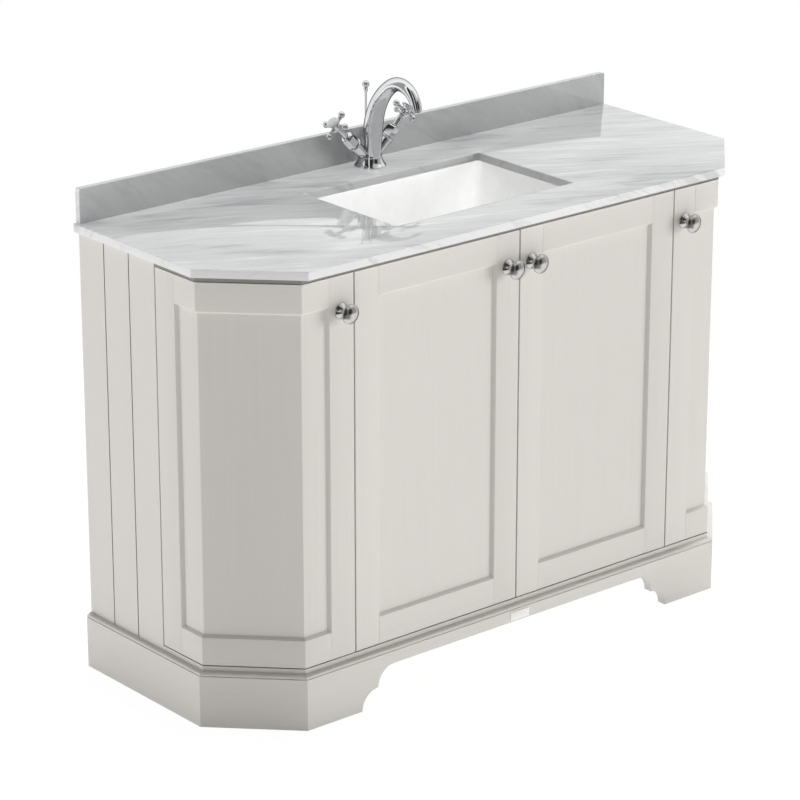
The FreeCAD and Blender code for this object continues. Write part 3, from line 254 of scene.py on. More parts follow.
def grain_group():
    """Paint over open grain: fine streaks along the wood, and a slow drift of tone."""
    tree, given, end = new_tree(
        "Painted grain", "Shader", {"Paint": "Color", "Stretch": "Vector", "Depth": "Float"},
        {"Colour": "Color", "Roughness": "Float", "Height": "Float"})
    place = object_coordinates(tree)
    along = on_vectors(tree, "MULTIPLY", {0: place, 1: given["Stretch"]})[0]
    streaks = noise(tree, along, 1, 4, 0.62)
    fine = spread(tree, streaks, 0.32, 0.68, -1, 1)
    pores = spread(tree, noise(tree, along, 3.1, 2, 0.5), 0.60, 0.78, 0, -0.9)
    slow = spread(tree, noise(tree, place, 3.2, 2, 0.5), 0.3, 0.7, -0.35, 0.35)
    depth = arithmetic(tree, "ADD", arithmetic(tree, "ADD", fine, pores), slow)
    tone = arithmetic(tree, "MULTIPLY_ADD", depth, given["Depth"], 1)
    feed(tree, end, {
        "Colour": scale_colour(tree, given["Paint"], tone),
        "Roughness": spread(tree, streaks, 0.3, 0.7, 0.36, 0.46),
        "Height": arithmetic(tree, "ADD", streaks, pores),
    })
    return tree


STONE_NORMAL = Vector((0.40, 0.73, 0.55)).normalized()
STONE_RUN = Vector((0.88, -0.48, 0)).normalized()
STONE_WAYS = (STONE_NORMAL, STONE_RUN, STONE_NORMAL.cross(STONE_RUN))


def vein_group():
    """Layered stone: broad clouds, soft bands along a slanting run, and fine feathered streaks."""
    tree, given, end = new_tree(
        "Stone layers", "Shader", {"Body": "Color", "Dark": "Color", "Pale": "Color"}, {"Colour": "Color"})
    place = object_coordinates(tree)
    bend = spread(tree, noise(tree, place, 5, 3, 0.55), 0, 1, -0.02, 0.02)
    ways = [on_vectors(tree, "DOT_PRODUCT", {0: place, 1: way})["Value"] for way in STONE_WAYS]
    ways[0] = arithmetic(tree, "ADD", ways[0], bend)

    def layer(rates, detail, roughness, warp):
        """Noise that is stretched by its own rate along each of the stone's ways."""
        parts = [arithmetic(tree, "MULTIPLY", way, rate) for way, rate in zip(ways, rates)]
        spot = add_node(tree, "ShaderNodeCombineXYZ", dict(enumerate(parts))).outputs[0]
        return noise(tree, spot, 1, detail, roughness, warp)

    clouds = layer((7, 3.2, 4), 3, 0.5, 0.5)
    bands = layer((50, 5, 10), 4, 0.6, 0.4)
    streaks = layer((170, 9, 24), 4, 0.65, 0.3)
    blend = arithmetic(tree, "MULTIPLY", clouds, 0.40)
    for part, weight in ((bands, 0.34), (streaks, 0.26)):
        blend = arithmetic(tree, "MULTIPLY_ADD", part, weight, blend)
    shade = mix_colours(tree, spread(tree, blend, 0.36, 0.50, 0, 1, True), given["Dark"], given["Body"])
    shade = mix_colours(tree, spread(tree, blend, 0.50, 0.64, 0, 1, True), shade, given["Pale"])
    feed(tree, end, {"Colour": shade})
    return tree


def wear_group():
    """Faint smudges and fine scratches that change how sharply a hard surface shines."""
    tree, given, end = new_tree(
        "Smudges", "Shader", {"Scale": "Float", "Low": "Float", "High": "Float"},
        {"Roughness": "Float", "Height": "Float", "Tone": "Float"})
    place = object_coordinates(tree)
    patches = noise(tree, place, given["Scale"], 4, 0.6)
    feed(tree, end, {
        "Roughness": spread(tree, patches, 0.35, 0.7, given["Low"], given["High"], True),
        "Height": noise(tree, place, arithmetic(tree, "MULTIPLY", given["Scale"], 9), 2, 0.5),
        "Tone": spread(tree, patches, 0.3, 0.7, 0.97, 1.03),
    })
    return tree


GROUP_MAKERS = {"Painted grain": grain_group, "Stone layers": vein_group, "Smudges": wear_group}


def group_node(tree, name, inputs):
    """Place one of the shared groups in a material."""
    made = bpy.data.node_groups.get(name) or GROUP_MAKERS[name]()
    return add_node(tree, "ShaderNodeGroup", inputs, node_tree=made).outputs


# Finishes

UPRIGHT_GRAIN = (260, 260, 4)
LEVEL_GRAIN = (4, 4, 260)
WHITE = (1, 1, 1)
METAL_OUTLINE = (0.05, 0.05, 0.05, 1)
# Painted shade: the share of the paint's colour kept on faces in grooves and in the gap under the worktop,
# where shade falls
GROOVE_PAINTED_SHADE = 0.36
RELIEF_DEPTH = 0.0002
GRAIN_RELIEF = 0.25
STONE_SMUDGES = 18
COAT_SMUDGES = 30
# Lowest and highest roughness of stone, and its coat
POLISH = (0.03, 0.07, 0.35)
HONING = (0.35, 0.5, 0)
PLATE_TONE = (0.95, 0.95, 0.94)
RUBBER_TONE = (0.03, 0.03, 0.03)
ENAMEL_TONE = (0.60, 0.61, 0.62)


def new_material(name, **sockets):
    """A material with plain numbers on its shader's own sockets."""
    made = bpy.data.materials.new(name)
    made.use_nodes = True
    shader = made.node_tree.nodes["Principled BSDF"]
    for label, given in sockets.items():
        shader.inputs[label.replace("_", " ").title()].default_value = given
    return made, made.node_tree, shader


def relief(tree, height, strength):
    """Fine relief on a surface."""
    inputs = {"Strength": strength, "Distance": RELIEF_DEPTH, "Height": height}
    return add_node(tree, "ShaderNodeBump", inputs).outputs["Normal"]


def opaque(tint):
    """A colour with its alpha."""
    return (*tint, 1)


def between(tint, other, factor):
    """A colour brought some way towards another."""
    return tuple(one + (two - one) * factor for one, two in zip(tint, other))


def painted(name, tint, stretch):
    """Satin paint on wood whose grain runs one way."""
    made, tree, shader = new_material(name)
    inputs = {"Paint": opaque(tint), "Stretch": stretch, "Depth": settings().paint.grain}
    grain = group_node(tree, "Painted grain", inputs)
    normal = relief(tree, grain["Height"], GRAIN_RELIEF)
    feed(tree, shader, {"Base Color": grain["Colour"], "Roughness": grain["Roughness"], "Normal": normal})
    return made


def stone(name, body, dark, pale, low, high, coat):
    """Veined stone, polished or honed."""
    made, tree, shader = new_material(name, coat_weight=coat, coat_roughness=0.02)
    tones = {"Body": opaque(body), "Dark": opaque(dark), "Pale": opaque(pale)}
    veins = group_node(tree, "Stone layers", tones)
    wear = group_node(tree, "Smudges", {"Scale": STONE_SMUDGES, "Low": low, "High": high})
    feed(tree, shader, {"Base Color": veins["Colour"], "Roughness": wear["Roughness"]})
    return made


def smudged(name, tint, low, high, scale, skin=0, **sockets):
    """A hard surface with faint smudges and, if it has a skin, fine relief."""
    made, tree, shader = new_material(name, **sockets)
    wear = group_node(tree, "Smudges", {"Scale": scale, "Low": low, "High": high})
    tone = scale_colour(tree, tuple(tint), wear["Tone"])
    feed(tree, shader, {"Base Color": tone, "Roughness": wear["Roughness"]})
    if skin:
        feed(tree, shader, {"Normal": relief(tree, wear["Height"], skin)})
    return made


def metal(name, tint, low, high, scale):
    """Polished or plain metal, darker towards its outline."""
    return smudged(name, tint, low, high, scale, metallic=1, specular_tint=METAL_OUTLINE)


def hard_coat(name, tint, low, high, skin, coat=0):
    """Glaze, enamel, moulded plastic or rubber."""
    return smudged(name, tint, low, high, COAT_SMUDGES, skin, coat_weight=coat, coat_roughness=0.04)


def finish_table():
    """Each finish by its name: its slot, its maker and what the maker needs."""
    paint, slab, fittings = settings().paint, settings().stone, settings().fittings
    # Painted shade: the paint darkened for faces that lie in grooves and narrow gaps
    groove = [part * GROOVE_PAINTED_SHADE for part in paint.paint]
    honed = (slab.edge, between(slab.dark, WHITE, 0.45), between(slab.pale, WHITE, 0.5))
    calm = (
        between(slab.body, slab.dark, 0.2), between(slab.body, slab.dark, 0.55),
        between(slab.body, slab.pale, 0.15),
    )
    return {
        "upright paint": ("paint", painted, paint.paint, UPRIGHT_GRAIN),
        "level paint": ("paint", painted, paint.paint, LEVEL_GRAIN),
        "groove paint": ("paint", painted, groove, UPRIGHT_GRAIN),
        "inside paint": ("inside_board", painted, paint.inside, UPRIGHT_GRAIN),
        "shelf paint": ("inside_board", painted, paint.inside, LEVEL_GRAIN),
        "polished stone": ("stone", stone, slab.body, slab.dark, slab.pale, *POLISH),
        "honed stone": ("stone", stone, *honed, *HONING),
        "calm stone": ("stone", stone, *calm, *POLISH),
        "white glaze": ("ceramic", hard_coat, fittings.glaze, 0.05, 0.10, 0.02, 0.6),
        "polished chrome": ("chrome", metal, fittings.chrome, 0.03, 0.07, 45),
        "polished nickel": ("nickel", metal, fittings.nickel, 0.14, 0.24, 60),
        "plain steel": ("steel", metal, fittings.steel, 0.28, 0.42, 80),
        "blank plate": ("plate", hard_coat, PLATE_TONE, 0.3, 0.42, 0.05),
        "moulded plastic": ("white_plastic", hard_coat, fittings.plastic, 0.32, 0.45, 0.10),
        "black rubber": ("rubber", hard_coat, RUBBER_TONE, 0.6, 0.75, 0.25),
        "index enamel": ("chrome", hard_coat, ENAMEL_TONE, 0.12, 0.2, 0.02, 0.5),
    }


def finish_of(name):
    """A finish, built when it is first asked for."""
    maker, *needs = finish_table()[name][1:]
    return bpy.data.materials.get(name) or maker(name, *needs)


# Shapes

MERGE_DISTANCE = 1e-5
FLAT_ANGLE = math.radians(0.5)
EDGE_ANGLE = math.radians(30)
BOARD_SHARP = math.radians(20)
TURNED_SHARP = math.radians(32)
FILLET_STEPS = 5
ON_AXIS = 1e-6


def linked_object(name, data):
    """An object of the scene that carries some data."""
    made = bpy.data.objects.new(name, data)
    bpy.context.scene.collection.objects.link(made)
    return made


def mesh_of(name, shape):
    """A mesh that takes over a shape."""
    mesh = bpy.data.meshes.new(name)
    shape.to_mesh(mesh)
    shape.free()
    return mesh


def make_piece(name, shape, finish, *nodes, body=ROOT, second=None, sharp=TURNED_SHARP):
    """Turn a shape into a finished piece that rides on a body and stands for nodes of the frame."""
    mesh = mesh_of("finished_" + name, shape)
    mesh.materials.append(finish_of(finish))
    if second:
        mesh.materials.append(finish_of(second))
    mesh.shade_smooth()
    mesh.set_sharp_from_angle(angle=sharp)
    piece = linked_object("finished_" + name, mesh)
    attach(piece, body)
    finish_table()[finish][0]
    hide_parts(*nodes)


def joined(parts):
    """One shape from several."""
    whole = bmesh.new()
    for part in parts:
        mesh = mesh_of("part", part)
        whole.from_mesh(mesh)
        bpy.data.meshes.remove(mesh)
    return whole


def moved(shape, matrix):
    """Put a shape in its place, right side out."""
    bmesh.ops.transform(shape, matrix=matrix, verts=shape.verts)
    if matrix.determinant() < 0:
        bmesh.ops.reverse_faces(shape, faces=shape.faces)
    return shape


def with_twin(shape):
    """A shape and its twin on the other side of the middle."""
    return joined([moved(shape.copy(), MIRROR), shape])


def reset_finish(shape):
    """Give all faces the first finish."""
    for face in shape.faces:
        face.material_index = 0


def flatten(shape):
    """Join the faces that lie in one plane."""
    bmesh.ops.dissolve_limit(shape, angle_limit=FLAT_ANGLE, verts=shape.verts, edges=shape.edges)


def merged_copy(*nodes):
    """One clean shape from the loose triangles of some nodes, with no walls left where boards touch."""
    shape = bmesh.new()
    for node in nodes:
        shape.from_mesh(FRAME["nodes"][node].data)
    reset_finish(shape)
    bmesh.ops.remove_doubles(shape, verts=shape.verts, dist=MERGE_DISTANCE)
    flatten(shape)
    inner = [face for face in shape.faces if all(len(edge.link_faces) > 2 for edge in face.edges)]
    bmesh.ops.delete(shape, geom=inner, context="FACES_ONLY")
    flatten(shape)
    return shape


def ease_edges(shape, ease):
    """Round the sharp edges of a shape."""
    sharp = [
        edge for edge in shape.edges if len(edge.link_faces) == 2 and edge.calc_face_angle() > EDGE_ANGLE
    ]
    bmesh.ops.bevel(
        shape, geom=sharp, offset=ease, offset_type="OFFSET", segments=2, profile=0.5, affect="EDGES",
        clamp_overlap=True)
    return shape


def eased_copy(ease, *nodes):
    """One shape from some nodes, with rounded edges."""
    return ease_edges(merged_copy(*nodes), ease)


def bent(first, pull, last, steps):
    """Points along a curve between two points, pulled towards a third one."""
    ways = [step / steps for step in range(steps + 1)]
    return [first * (1 - way) ** 2 + pull * 2 * way * (1 - way) + last * way ** 2 for way in ways]


def filleted(corners):
    """The points of a profile with its corners rounded."""
    points = []
    for index, (across, up, *rounding) in enumerate(corners):
        here = Vector((across, up))
        if not rounding:
            points.append(here)
            continue
        before = Vector(corners[index - 1][:2]) - here
        after = Vector(corners[(index + 1) % len(corners)][:2]) - here
        reach = min(*rounding, before.length / 2, after.length / 2)
        start, end = here + before.normalized() * reach, here + after.normalized() * reach
        points += bent(start, here, end, FILLET_STEPS)
    return points


def curved(first, last, pull, steps=8):
    """Corners of a profile along a soft curve, pulled towards a third point."""
    return [tuple(point) for point in bent(Vector(first), Vector(pull), Vector(last), steps)]


def ball(radius, middle, start, end, steps):
    """Corners of a profile round a ball, between two angles in degrees from its foot."""
    angles = [math.radians(start + (end - start) * step / steps) for step in range(steps + 1)]
    return [(radius * math.sin(angle), middle - radius * math.cos(angle)) for angle in angles]


def thread(inner, outer, start, pitch, turns):
    """Corners of a profile up a screw thread."""
    corners = []
    for height in (start + pitch * step for step in range(turns)):
        corners += [(inner, height), (outer, height + pitch / 2)]
    return corners


def raised(corners, height):
    """Corners of a profile at a greater height."""
    return [(across, up + height, *rounding) for across, up, *rounding in corners]


def bridge(shape, rings, closed=False):
    """Skin a row of rings of points, each of as many points or of one."""
    pairs = list(zip(rings, rings[1:]))
    if closed:
        pairs.append((rings[-1], rings[0]))
    count = max(len(ring) for ring in rings)
    for lower, upper in pairs:
        for index in range(count):
            after = (index + 1) % count
            corners = [
                lower[index % len(lower)], lower[after % len(lower)],
                upper[after % len(upper)], upper[index % len(upper)],
            ]
            corners = list(dict.fromkeys(corners))
            if len(corners) > 2:
                shape.faces.new(corners)
    bmesh.ops.recalc_face_normals(shape, faces=shape.faces)
    return shape


def lathe(corners, closed=False, steps=56, facets=None):
    """Turn a profile about Z. Facets are a number of flats between two heights."""
    shape = bmesh.new()
    rings = []
    for radius, height in filleted(corners):
        if radius < ON_AXIS:
            rings.append([shape.verts.new((0, 0, height * MM))])
            continue
        ring = []
        for step in range(steps):
            angle = math.tau * step / steps
            reach = radius * MM
            if facets and facets[1] <= height <= facets[2]:
                part = math.tau / facets[0]
                reach *= math.cos(part / 2) / math.cos(angle % part - part / 2)
            ring.append(shape.verts.new((reach * math.cos(angle), reach * math.sin(angle), height * MM)))
        rings.append(ring)
    return bridge(shape, rings, closed)


def turned_piece(name, corners, place, finish, node, body=ROOT, **turning):
    """A piece turned from one profile and set in its place."""
    make_piece(name, moved(lathe(corners, **turning), place), finish, node, body=body)


def block(low, high, ease):
    """A box with rounded edges, in metres."""
    low, high = Vector(low), Vector(high)
    shape = bmesh.new()
    bmesh.ops.create_cube(shape, size=1)
    moved(shape, Matrix.Translation((low + high) / 2) @ Matrix.Diagonal((*(high - low), 1)))
    return ease_edges(shape, ease)


# Geometry nodes

SPOUT_SHARES = ((0, 0.80), (0.10, 0.88), (0.21, 1.0), (0.37, 0.93), (0.54, 0.81), (0.80, 0.65), (1, 0.53))
SPOUT_RINGS = 90
SPOUT_SIDES = 48


def end_tree(tree, geometry, finish, end):
    """Make instances real and give them their finish."""
    real = add_node(tree, "GeometryNodeRealizeInstances", {"Geometry": geometry})
    done = add_node(tree, "GeometryNodeSetMaterial", {"Geometry": real.outputs[0], "Material": finish})
    tree.links.new(done.outputs[0], end.inputs[0])
    return tree


def spots_tree():
    """Sets one item on every spot, each turned about Z by its own angle."""
    inputs = {"Spots": "Geometry", "Item": "Object", "Finish": "Material"}
    tree, given, end = new_tree("Set on spots", "Geometry", inputs, {"Pieces": "Geometry"})
    item = add_node(tree, "GeometryNodeObjectInfo", {"Object": given["Item"]})
    turns = add_node(tree, "GeometryNodeInputNamedAttribute", {"Name": "turn"}, data_type="FLOAT")
    angles = add_node(tree, "ShaderNodeCombineXYZ", {"Z": turns.outputs["Attribute"]})
    rotation = add_node(tree, "FunctionNodeEulerToRotation", {0: angles.outputs[0]})
    inputs = {"Points": given["Spots"], "Instance": item.outputs["Geometry"], "Rotation": rotation.outputs[0]}
    placed = add_node(tree, "GeometryNodeInstanceOnPoints", inputs)
    return end_tree(tree, placed.outputs[0], given["Finish"], end)


def spout_tree():
    """Sweeps a round section along the spout's path, swelling and tapering on its way."""
    inputs = {"Path": "Geometry", "Radius": "Float", "Finish": "Material"}
    tree, given, end = new_tree("Spout sweep", "Geometry", inputs, {"Spout": "Geometry"})
    path = add_node(tree, "GeometryNodeResampleCurve", {"Curve": given["Path"], "Count": SPOUT_RINGS})
    way = add_node(tree, "GeometryNodeSplineParameter").outputs["Factor"]
    shares = add_node(tree, "ShaderNodeFloatCurve", {"Value": way})
    line = shares.mapping.curves[0]
    line.points[0].location = SPOUT_SHARES[0]
    line.points[1].location = SPOUT_SHARES[-1]
    for spot in SPOUT_SHARES[1:-1]:
        line.points.new(*spot)
    shares.mapping.update()
    radius = arithmetic(tree, "MULTIPLY", shares.outputs[0], given["Radius"])
    ring = add_node(tree, "GeometryNodeCurvePrimitiveCircle", {"Resolution": SPOUT_SIDES, "Radius": 1})
    inputs = {"Curve": path.outputs[0], "Profile Curve": ring.outputs[0], "Scale": radius, "Fill Caps": True}
    tube = add_node(tree, "GeometryNodeCurveToMesh", inputs)
    return end_tree(tree, tube.outputs[0], given["Finish"], end)


def evaluated_shape(carrier, tree, values):
    """Run a geometry node tree on an object and keep its result as a shape."""
    modifier = carrier.modifiers.new("nodes", "NODES")
    modifier.node_group = tree
    for socket in tree.interface.items_tree:
        if socket.in_out == "INPUT" and socket.name in values:
            modifier[socket.identifier] = values[socket.name]
    bpy.context.view_layer.update()
    mesh = bpy.data.meshes.new_from_object(carrier.evaluated_get(bpy.context.evaluated_depsgraph_get()))
    carrier.modifiers.remove(modifier)
    bpy.data.objects.remove(carrier)
    shape = bmesh.new()
    shape.from_mesh(mesh)
    bpy.data.meshes.remove(mesh)
    bmesh.ops.remove_doubles(shape, verts=shape.verts, dist=MERGE_DISTANCE / 10)
    reset_finish(shape)
    return shape


def repeated(shape, spots, finish):
    """Set a shape on spots, each a place and a turn about Z."""
    tree = bpy.data.node_groups.get("Set on spots") or spots_tree()
    item = linked_object("item", mesh_of("item", shape))
    mesh = bpy.data.meshes.new("spots")
    mesh.from_pydata([tuple(place) for place, angle in spots], [], [])
    turns = mesh.attributes.new("turn", "FLOAT", "POINT")
    turns.data.foreach_set("value", [angle for place, angle in spots])
    values = {"Item": item, "Finish": finish_of(finish)}
    result = evaluated_shape(linked_object("spots", mesh), tree, values)
    bpy.data.objects.remove(item)
    return result


# Boards

GROOVE_LEAN = (0.15, 0.30)
EDGE_LEAN = 0.5
PLATE_EASE = 0.0004
KNOB_PROFILE = (
    [(0, 0), (14, 0), (14, 1.4, 0.5)]
    + curved((13.4, 2.0), (6.4, 9.2), (8.6, 6.4))
    + curved((6.2, 10.4), (16.4, 22.2), (6.6, 20.6))
    + [(17.3, 22.6, 0.5), (17.3, 24.3, 0.5), (16.5, 24.6, 0.2), (16.5, 25.0, 0.2)]
    + curved((16.2, 25.2), (0, 31), (10.5, 31))
)
PIN_LENGTH = 24
PIN_PROFILE = [(0, 0), (3, 0, 0.8), (3, PIN_LENGTH, 0.8), (0, PIN_LENGTH)]
MOULDING_PROFILE = (
    [(0, 0), (0, 7.5), (2.6, 7.5), (2.6, 7.0)]
    + curved((3.4, 7.0), (9.6, 1.3), (9.6, 6.6))
    + [(9.6, 0.9), (8.2, 0.9), (8.2, 0)]
)
MOULDING_DEPTH = 0.010
MITRE = math.sqrt(2) - 1


def board_piece(node, finish, body=ROOT, ease=None, second=None, takes_second=None):
    """A board of the frame with eased edges, and a second finish on the faces whose normals take it."""
    shape = eased_copy(ease or settings().paint.ease, node)
    if second:
        shape.normal_update()
        for face in shape.faces:
            face.material_index = int(takes_second(face.normal))
    make_piece(node, shape, finish, node, body=body, second=second, sharp=BOARD_SHARP)


class VANITY_OT_carcass(Operator):
    """Finish the sides, partitions, shelves and boards of the cabinet"""
    bl_idname = "vanity.carcass"
    bl_label = "Carcass"

    def execute(self, context):
        # Painted shade goes into the grooves of the sides and along the gap under the worktop
        for side in SIDES:
            self.with_painted_shade(side + "_side_panel", "upright paint", self.in_groove)
            board_piece(side + "_divider", "inside paint")
            board_piece(side + "_back_panel", "inside paint")
        board_piece("base_board", "level paint")
        self.with_painted_shade("sub_top", "level paint", self.in_gap)
        board_piece("back_rails", "shelf paint")
        board_piece("shelves", "shelf paint")
        return {"FINISHED"}

    def with_painted_shade(self, node, finish, is_deep):
        """A board with painted shade, a darker paint, on the faces that lie in a groove or a narrow gap."""
        board_piece(node, finish, second="groove paint", takes_second=is_deep)

    def in_groove(self, normal):
        """Whether a face of a side looks out of a groove between its planks, and so takes the painted shade.
        """
        low, high = GROOVE_LEAN
        return low < abs(normal.x) < high and abs(normal.z) < low

    def in_gap(self, normal):
        """Whether a face looks out of the narrow gap under the worktop, and so takes the painted shade."""
        return abs(normal.z) < EDGE_LEAN and normal.y < EDGE_LEAN


def knob_shape(node):
    """A turned knob that stands out of its door to the front."""
    middle = middle_of(node)
    middle.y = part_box(node)[1].y
    place = Matrix.Translation(middle) @ Matrix.Rotation(QUARTER_TURN, 4, "X")
    return moved(lathe(KNOB_PROFILE, steps=72), place)


def pin_shapes(node):
    """The two pins that a door turns on."""
    low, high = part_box(node)
    x, y, z = middle_of(node)
    heights = (low.z, high.z - PIN_LENGTH * MM)
    return joined([moved(lathe(PIN_PROFILE, steps=24), Matrix.Translation((x, y, z))) for z in heights])


class VANITY_OT_doors(Operator):
    """Finish the frames, panels, pins and knobs of the four doors"""
    bl_idname = "vanity.doors"
    bl_label = "Doors"

    def execute(self, context):
        for side in SIDES:
            for door in DOORS:
                body = "%s_%s_door" % (side, door)
                board_piece(body + "_stiles", "upright paint", body)
                board_piece(body + "_rails", "level paint", body)
                board_piece(body + "_panel", "upright paint", body)
                knob, pins = body + "_knob", body + "_pins"
                make_piece(knob, knob_shape(knob), "polished nickel", knob, body=body)
                make_piece(pins, pin_shapes(pins), "plain steel", pins, body=body)
        return {"FINISHED"}


class VANITY_OT_plinth(Operator):
    """Finish the plinth, its moulding and its blank plate"""
    bl_idname = "vanity.plinth"
    bl_label = "Plinth"

    def execute(self, context):
        nodes = ("plinth_left_side", "plinth_right_side", "plinth_corners", "plinth_front")
        shape = eased_copy(settings().paint.ease, *nodes)
        make_piece("plinth", shape, "level paint", *nodes, sharp=BOARD_SHARP)
        make_piece("moulding", self.moulding(), "level paint", "plinth_moulding")
        make_piece("plate", block(*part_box("blank_plate"), PLATE_EASE), "blank plate", "blank_plate")
        return {"FINISHED"}

    def moulding(self):
        """A moulding mitred round the cabinet: its profile runs along five straight lengths."""
        low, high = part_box("plinth_moulding")
        half, front = high.x - MOULDING_DEPTH, low.y + MOULDING_DEPTH
        cant = self.cant()
        shape = bmesh.new()
        rings = []
        for side, corner in ((-1, 0), (-1, 1), (-1, 2), (1, 2), (1, 1), (1, 0)):
            ring = []
            for across, up in MOULDING_PROFILE:
                out = across * MM
                x, y = (
                    (half + out, high.y),
                    (half + out, front + cant - out * MITRE),
                    (half - cant + out * MITRE, front - out),
                )[corner]
                ring.append(shape.verts.new((side * x, y, low.z + up * MM)))
            rings.append(ring)
        shape.faces.new(rings[0])
        shape.faces.new(rings[-1])
        return bridge(shape, rings)

    def cant(self):
        """How far the cabinet's cant reaches along its front and side."""
        low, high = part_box("base_board")
        front = [v.co.x for v in FRAME["nodes"]["base_board"].data.vertices if v.co.y < low.y + MM]
        return high.x - max(front)


# Stone

LEVEL_FACE = 0.7
FRONT_FACE = -0.9


class VANITY_OT_stone(Operator):
    """Finish the worktop and the upstand, polished on their faces and honed on their edges"""
    bl_idname = "vanity.stone"
    bl_label = "Stone"

    def execute(self, context):
        honed = {"ease": settings().stone.ease, "second": "honed stone"}
        board_piece("worktop", "polished stone", takes_second=self.on_slab_edge, **honed)
        board_piece("upstand", "calm stone", takes_second=self.on_strip_edge, **honed)
        return {"FINISHED"}

    def on_slab_edge(self, normal):
        """Whether a face of the worktop stands upright."""
        return abs(normal.z) < LEVEL_FACE

    def on_strip_edge(self, normal):
        """Whether a face of the upstand looks neither to the front nor up."""
        return normal.y > FRONT_FACE and normal.z < LEVEL_FACE


# Basin

BASIN_SLOPE = math.tan(math.radians(5))
BASIN_WALL = 0.009
BASIN_CORNER = 0.014
WALL_SHARES = (0, 0.03, 0.35)
FOOT_STEPS = 8
FOOT_TIGHTENING = 0.75
LEAST_CORNER = 0.004
RIM_HEIGHT = 0.009
RIM_WIDTH = 0.022
RIM_CORNER = 0.008
RIM_EASE = 0.0015
WASTE_HOLE = 0.0225
HOLE_EASE = 0.002
FLAT_ROUND_HOLE = WASTE_HOLE * 2.6
CORNER_STEPS = 8
CORNER_WAYS = ((1, 1), (-1, 1), (-1, -1), (1, -1))
CLIP_HALF = (0.030, 0.012)
CLIP_THICKNESS = 0.002
CLIP_EASE = 0.0005
CLIP_ROW_X = 0.110
CLIP_SCREW = [(0, -2.6), (3.4, -2.6, 1.4), (4.2, -0.4, 0.4), (4.2, 0.2), (0, 0.2)]
CLIP_SCREW_Y = 0.006


class VANITY_OT_basin(Operator):
    """Build the ceramic bowl and the clips that hold it"""
    bl_idname = "vanity.basin"
    bl_label = "Basin"

    def execute(self, context):
        make_piece("basin", self.bowl(), "white glaze", "basin")
        make_piece("clips", self.clips(), "plain steel", "basin_clips")
        return {"FINISHED"}

    def ring(self, shape, half_x, half_y, radius, z):
        """A level rounded rectangle of points."""
        points = []
        for corner, (to_x, to_y) in enumerate(CORNER_WAYS):
            for step in range(CORNER_STEPS + 1):
                angle = QUARTER_TURN * (corner + step / CORNER_STEPS)
                x = to_x * (half_x - radius) + radius * math.cos(angle)
                y = to_y * (half_y - radius) + radius * math.sin(angle)
                points.append(shape.verts.new((x, BASIN_Y + y, z)))
        return points

    def circle(self, shape, radius, z):
        """A level circle with as many points as a rounded rectangle."""
        count = len(CORNER_WAYS) * (CORNER_STEPS + 1)
        angles = [math.tau * (step + 0.5) / count for step in range(count)]
        spots = [(radius * math.cos(angle), BASIN_Y + radius * math.sin(angle), z) for angle in angles]
        return [shape.verts.new(spot) for spot in spots]

    def wall(self, shape, half_x, half_y, corner, top, bottom):
        """Rings from the top of a leaning wall, round the foot's fillet, to the flat floor."""
        rings = []
        straight = top - bottom - corner
        for part in WALL_SHARES:
            lean = straight * part * BASIN_SLOPE
            rings.append(self.ring(shape, half_x - lean, half_y - lean, corner, top - straight * part))
        for step in range(FOOT_STEPS + 1):
            angle = QUARTER_TURN * step / FOOT_STEPS
            inward = 1 - math.cos(angle)
            lean = straight * BASIN_SLOPE + corner * inward
            radius = max(corner * (1 - FOOT_TIGHTENING * inward), LEAST_CORNER)
            z = bottom + corner * (1 - math.sin(angle))
            rings.append(self.ring(shape, half_x - lean, half_y - lean, radius, z))
        return rings

    def bowl(self):
        """A closed shell: inside down to the waste hole, back under the floor and up to the rim."""
        shape = bmesh.new()
        top, under = BASIN_HIGH.z, BASIN_LOW.z
        floor = under + BASIN_WALL
        rim = (BASIN_HIGH.x, BASIN_HIGH.y - BASIN_Y)
        inner = self.wall(shape, *(half - RIM_WIDTH for half in rim), BASIN_CORNER, top, floor)
        outer = self.wall(
            shape, *(half - RIM_WIDTH + BASIN_WALL for half in rim), BASIN_CORNER + BASIN_WALL,
            top - RIM_HEIGHT, under)
        hole = [self.circle(shape, *spot) for spot in (
            (FLAT_ROUND_HOLE, floor), (WASTE_HOLE + HOLE_EASE, floor), (WASTE_HOLE, floor - HOLE_EASE),
            (WASTE_HOLE, under), (FLAT_ROUND_HOLE, under),
        )]
        edge = [self.ring(shape, *rim, RIM_CORNER, z) for z in (top - RIM_HEIGHT, top - RIM_EASE)]
        edge.append(self.ring(shape, *(half - RIM_EASE for half in rim), RIM_CORNER, top))
        return bridge(shape, inner + hole + outer[::-1] + edge, closed=True)

    def clips(self):
        """Steel plates under the rim, each held by a round-headed screw."""
        half_length, half_width = CLIP_HALF
        plate = block((-half_length, -half_width, 0), (half_length, half_width, CLIP_THICKNESS), CLIP_EASE)
        screw = moved(lathe(CLIP_SCREW, steps=20), Matrix.Translation((0, CLIP_SCREW_Y, 0)))
        side_x, row_y, _ = size_of("basin_clips") * MM / 2
        row_y -= half_width
        side_x -= half_width
        z = foot_of("basin_clips")
        spots = []
        for x in (-CLIP_ROW_X, CLIP_ROW_X):
            spots += [((x, BASIN_Y - row_y, z), math.pi), ((x, BASIN_Y + row_y, z), 0)]
        spots += [((-side_x, BASIN_Y, z), QUARTER_TURN), ((side_x, BASIN_Y, z), -QUARTER_TURN)]
        return repeated(joined([plate, screw]), spots, "plain steel")


# Waste and trap

FLANGE_HEIGHT = 4
FLANGE_PROFILE = (
    [(20.4, -8), (21, -6, 0.4), (21, 0, 0.6), (31, 0), (31.5, 1, 0.3)]
    + curved((31.4, 1.6), (22, 4), (28.5, 3.9), 6)
    + [(20.5, 4, 0.4), (20.5, 1, 0.3), (16, 1, 0.5)]
)
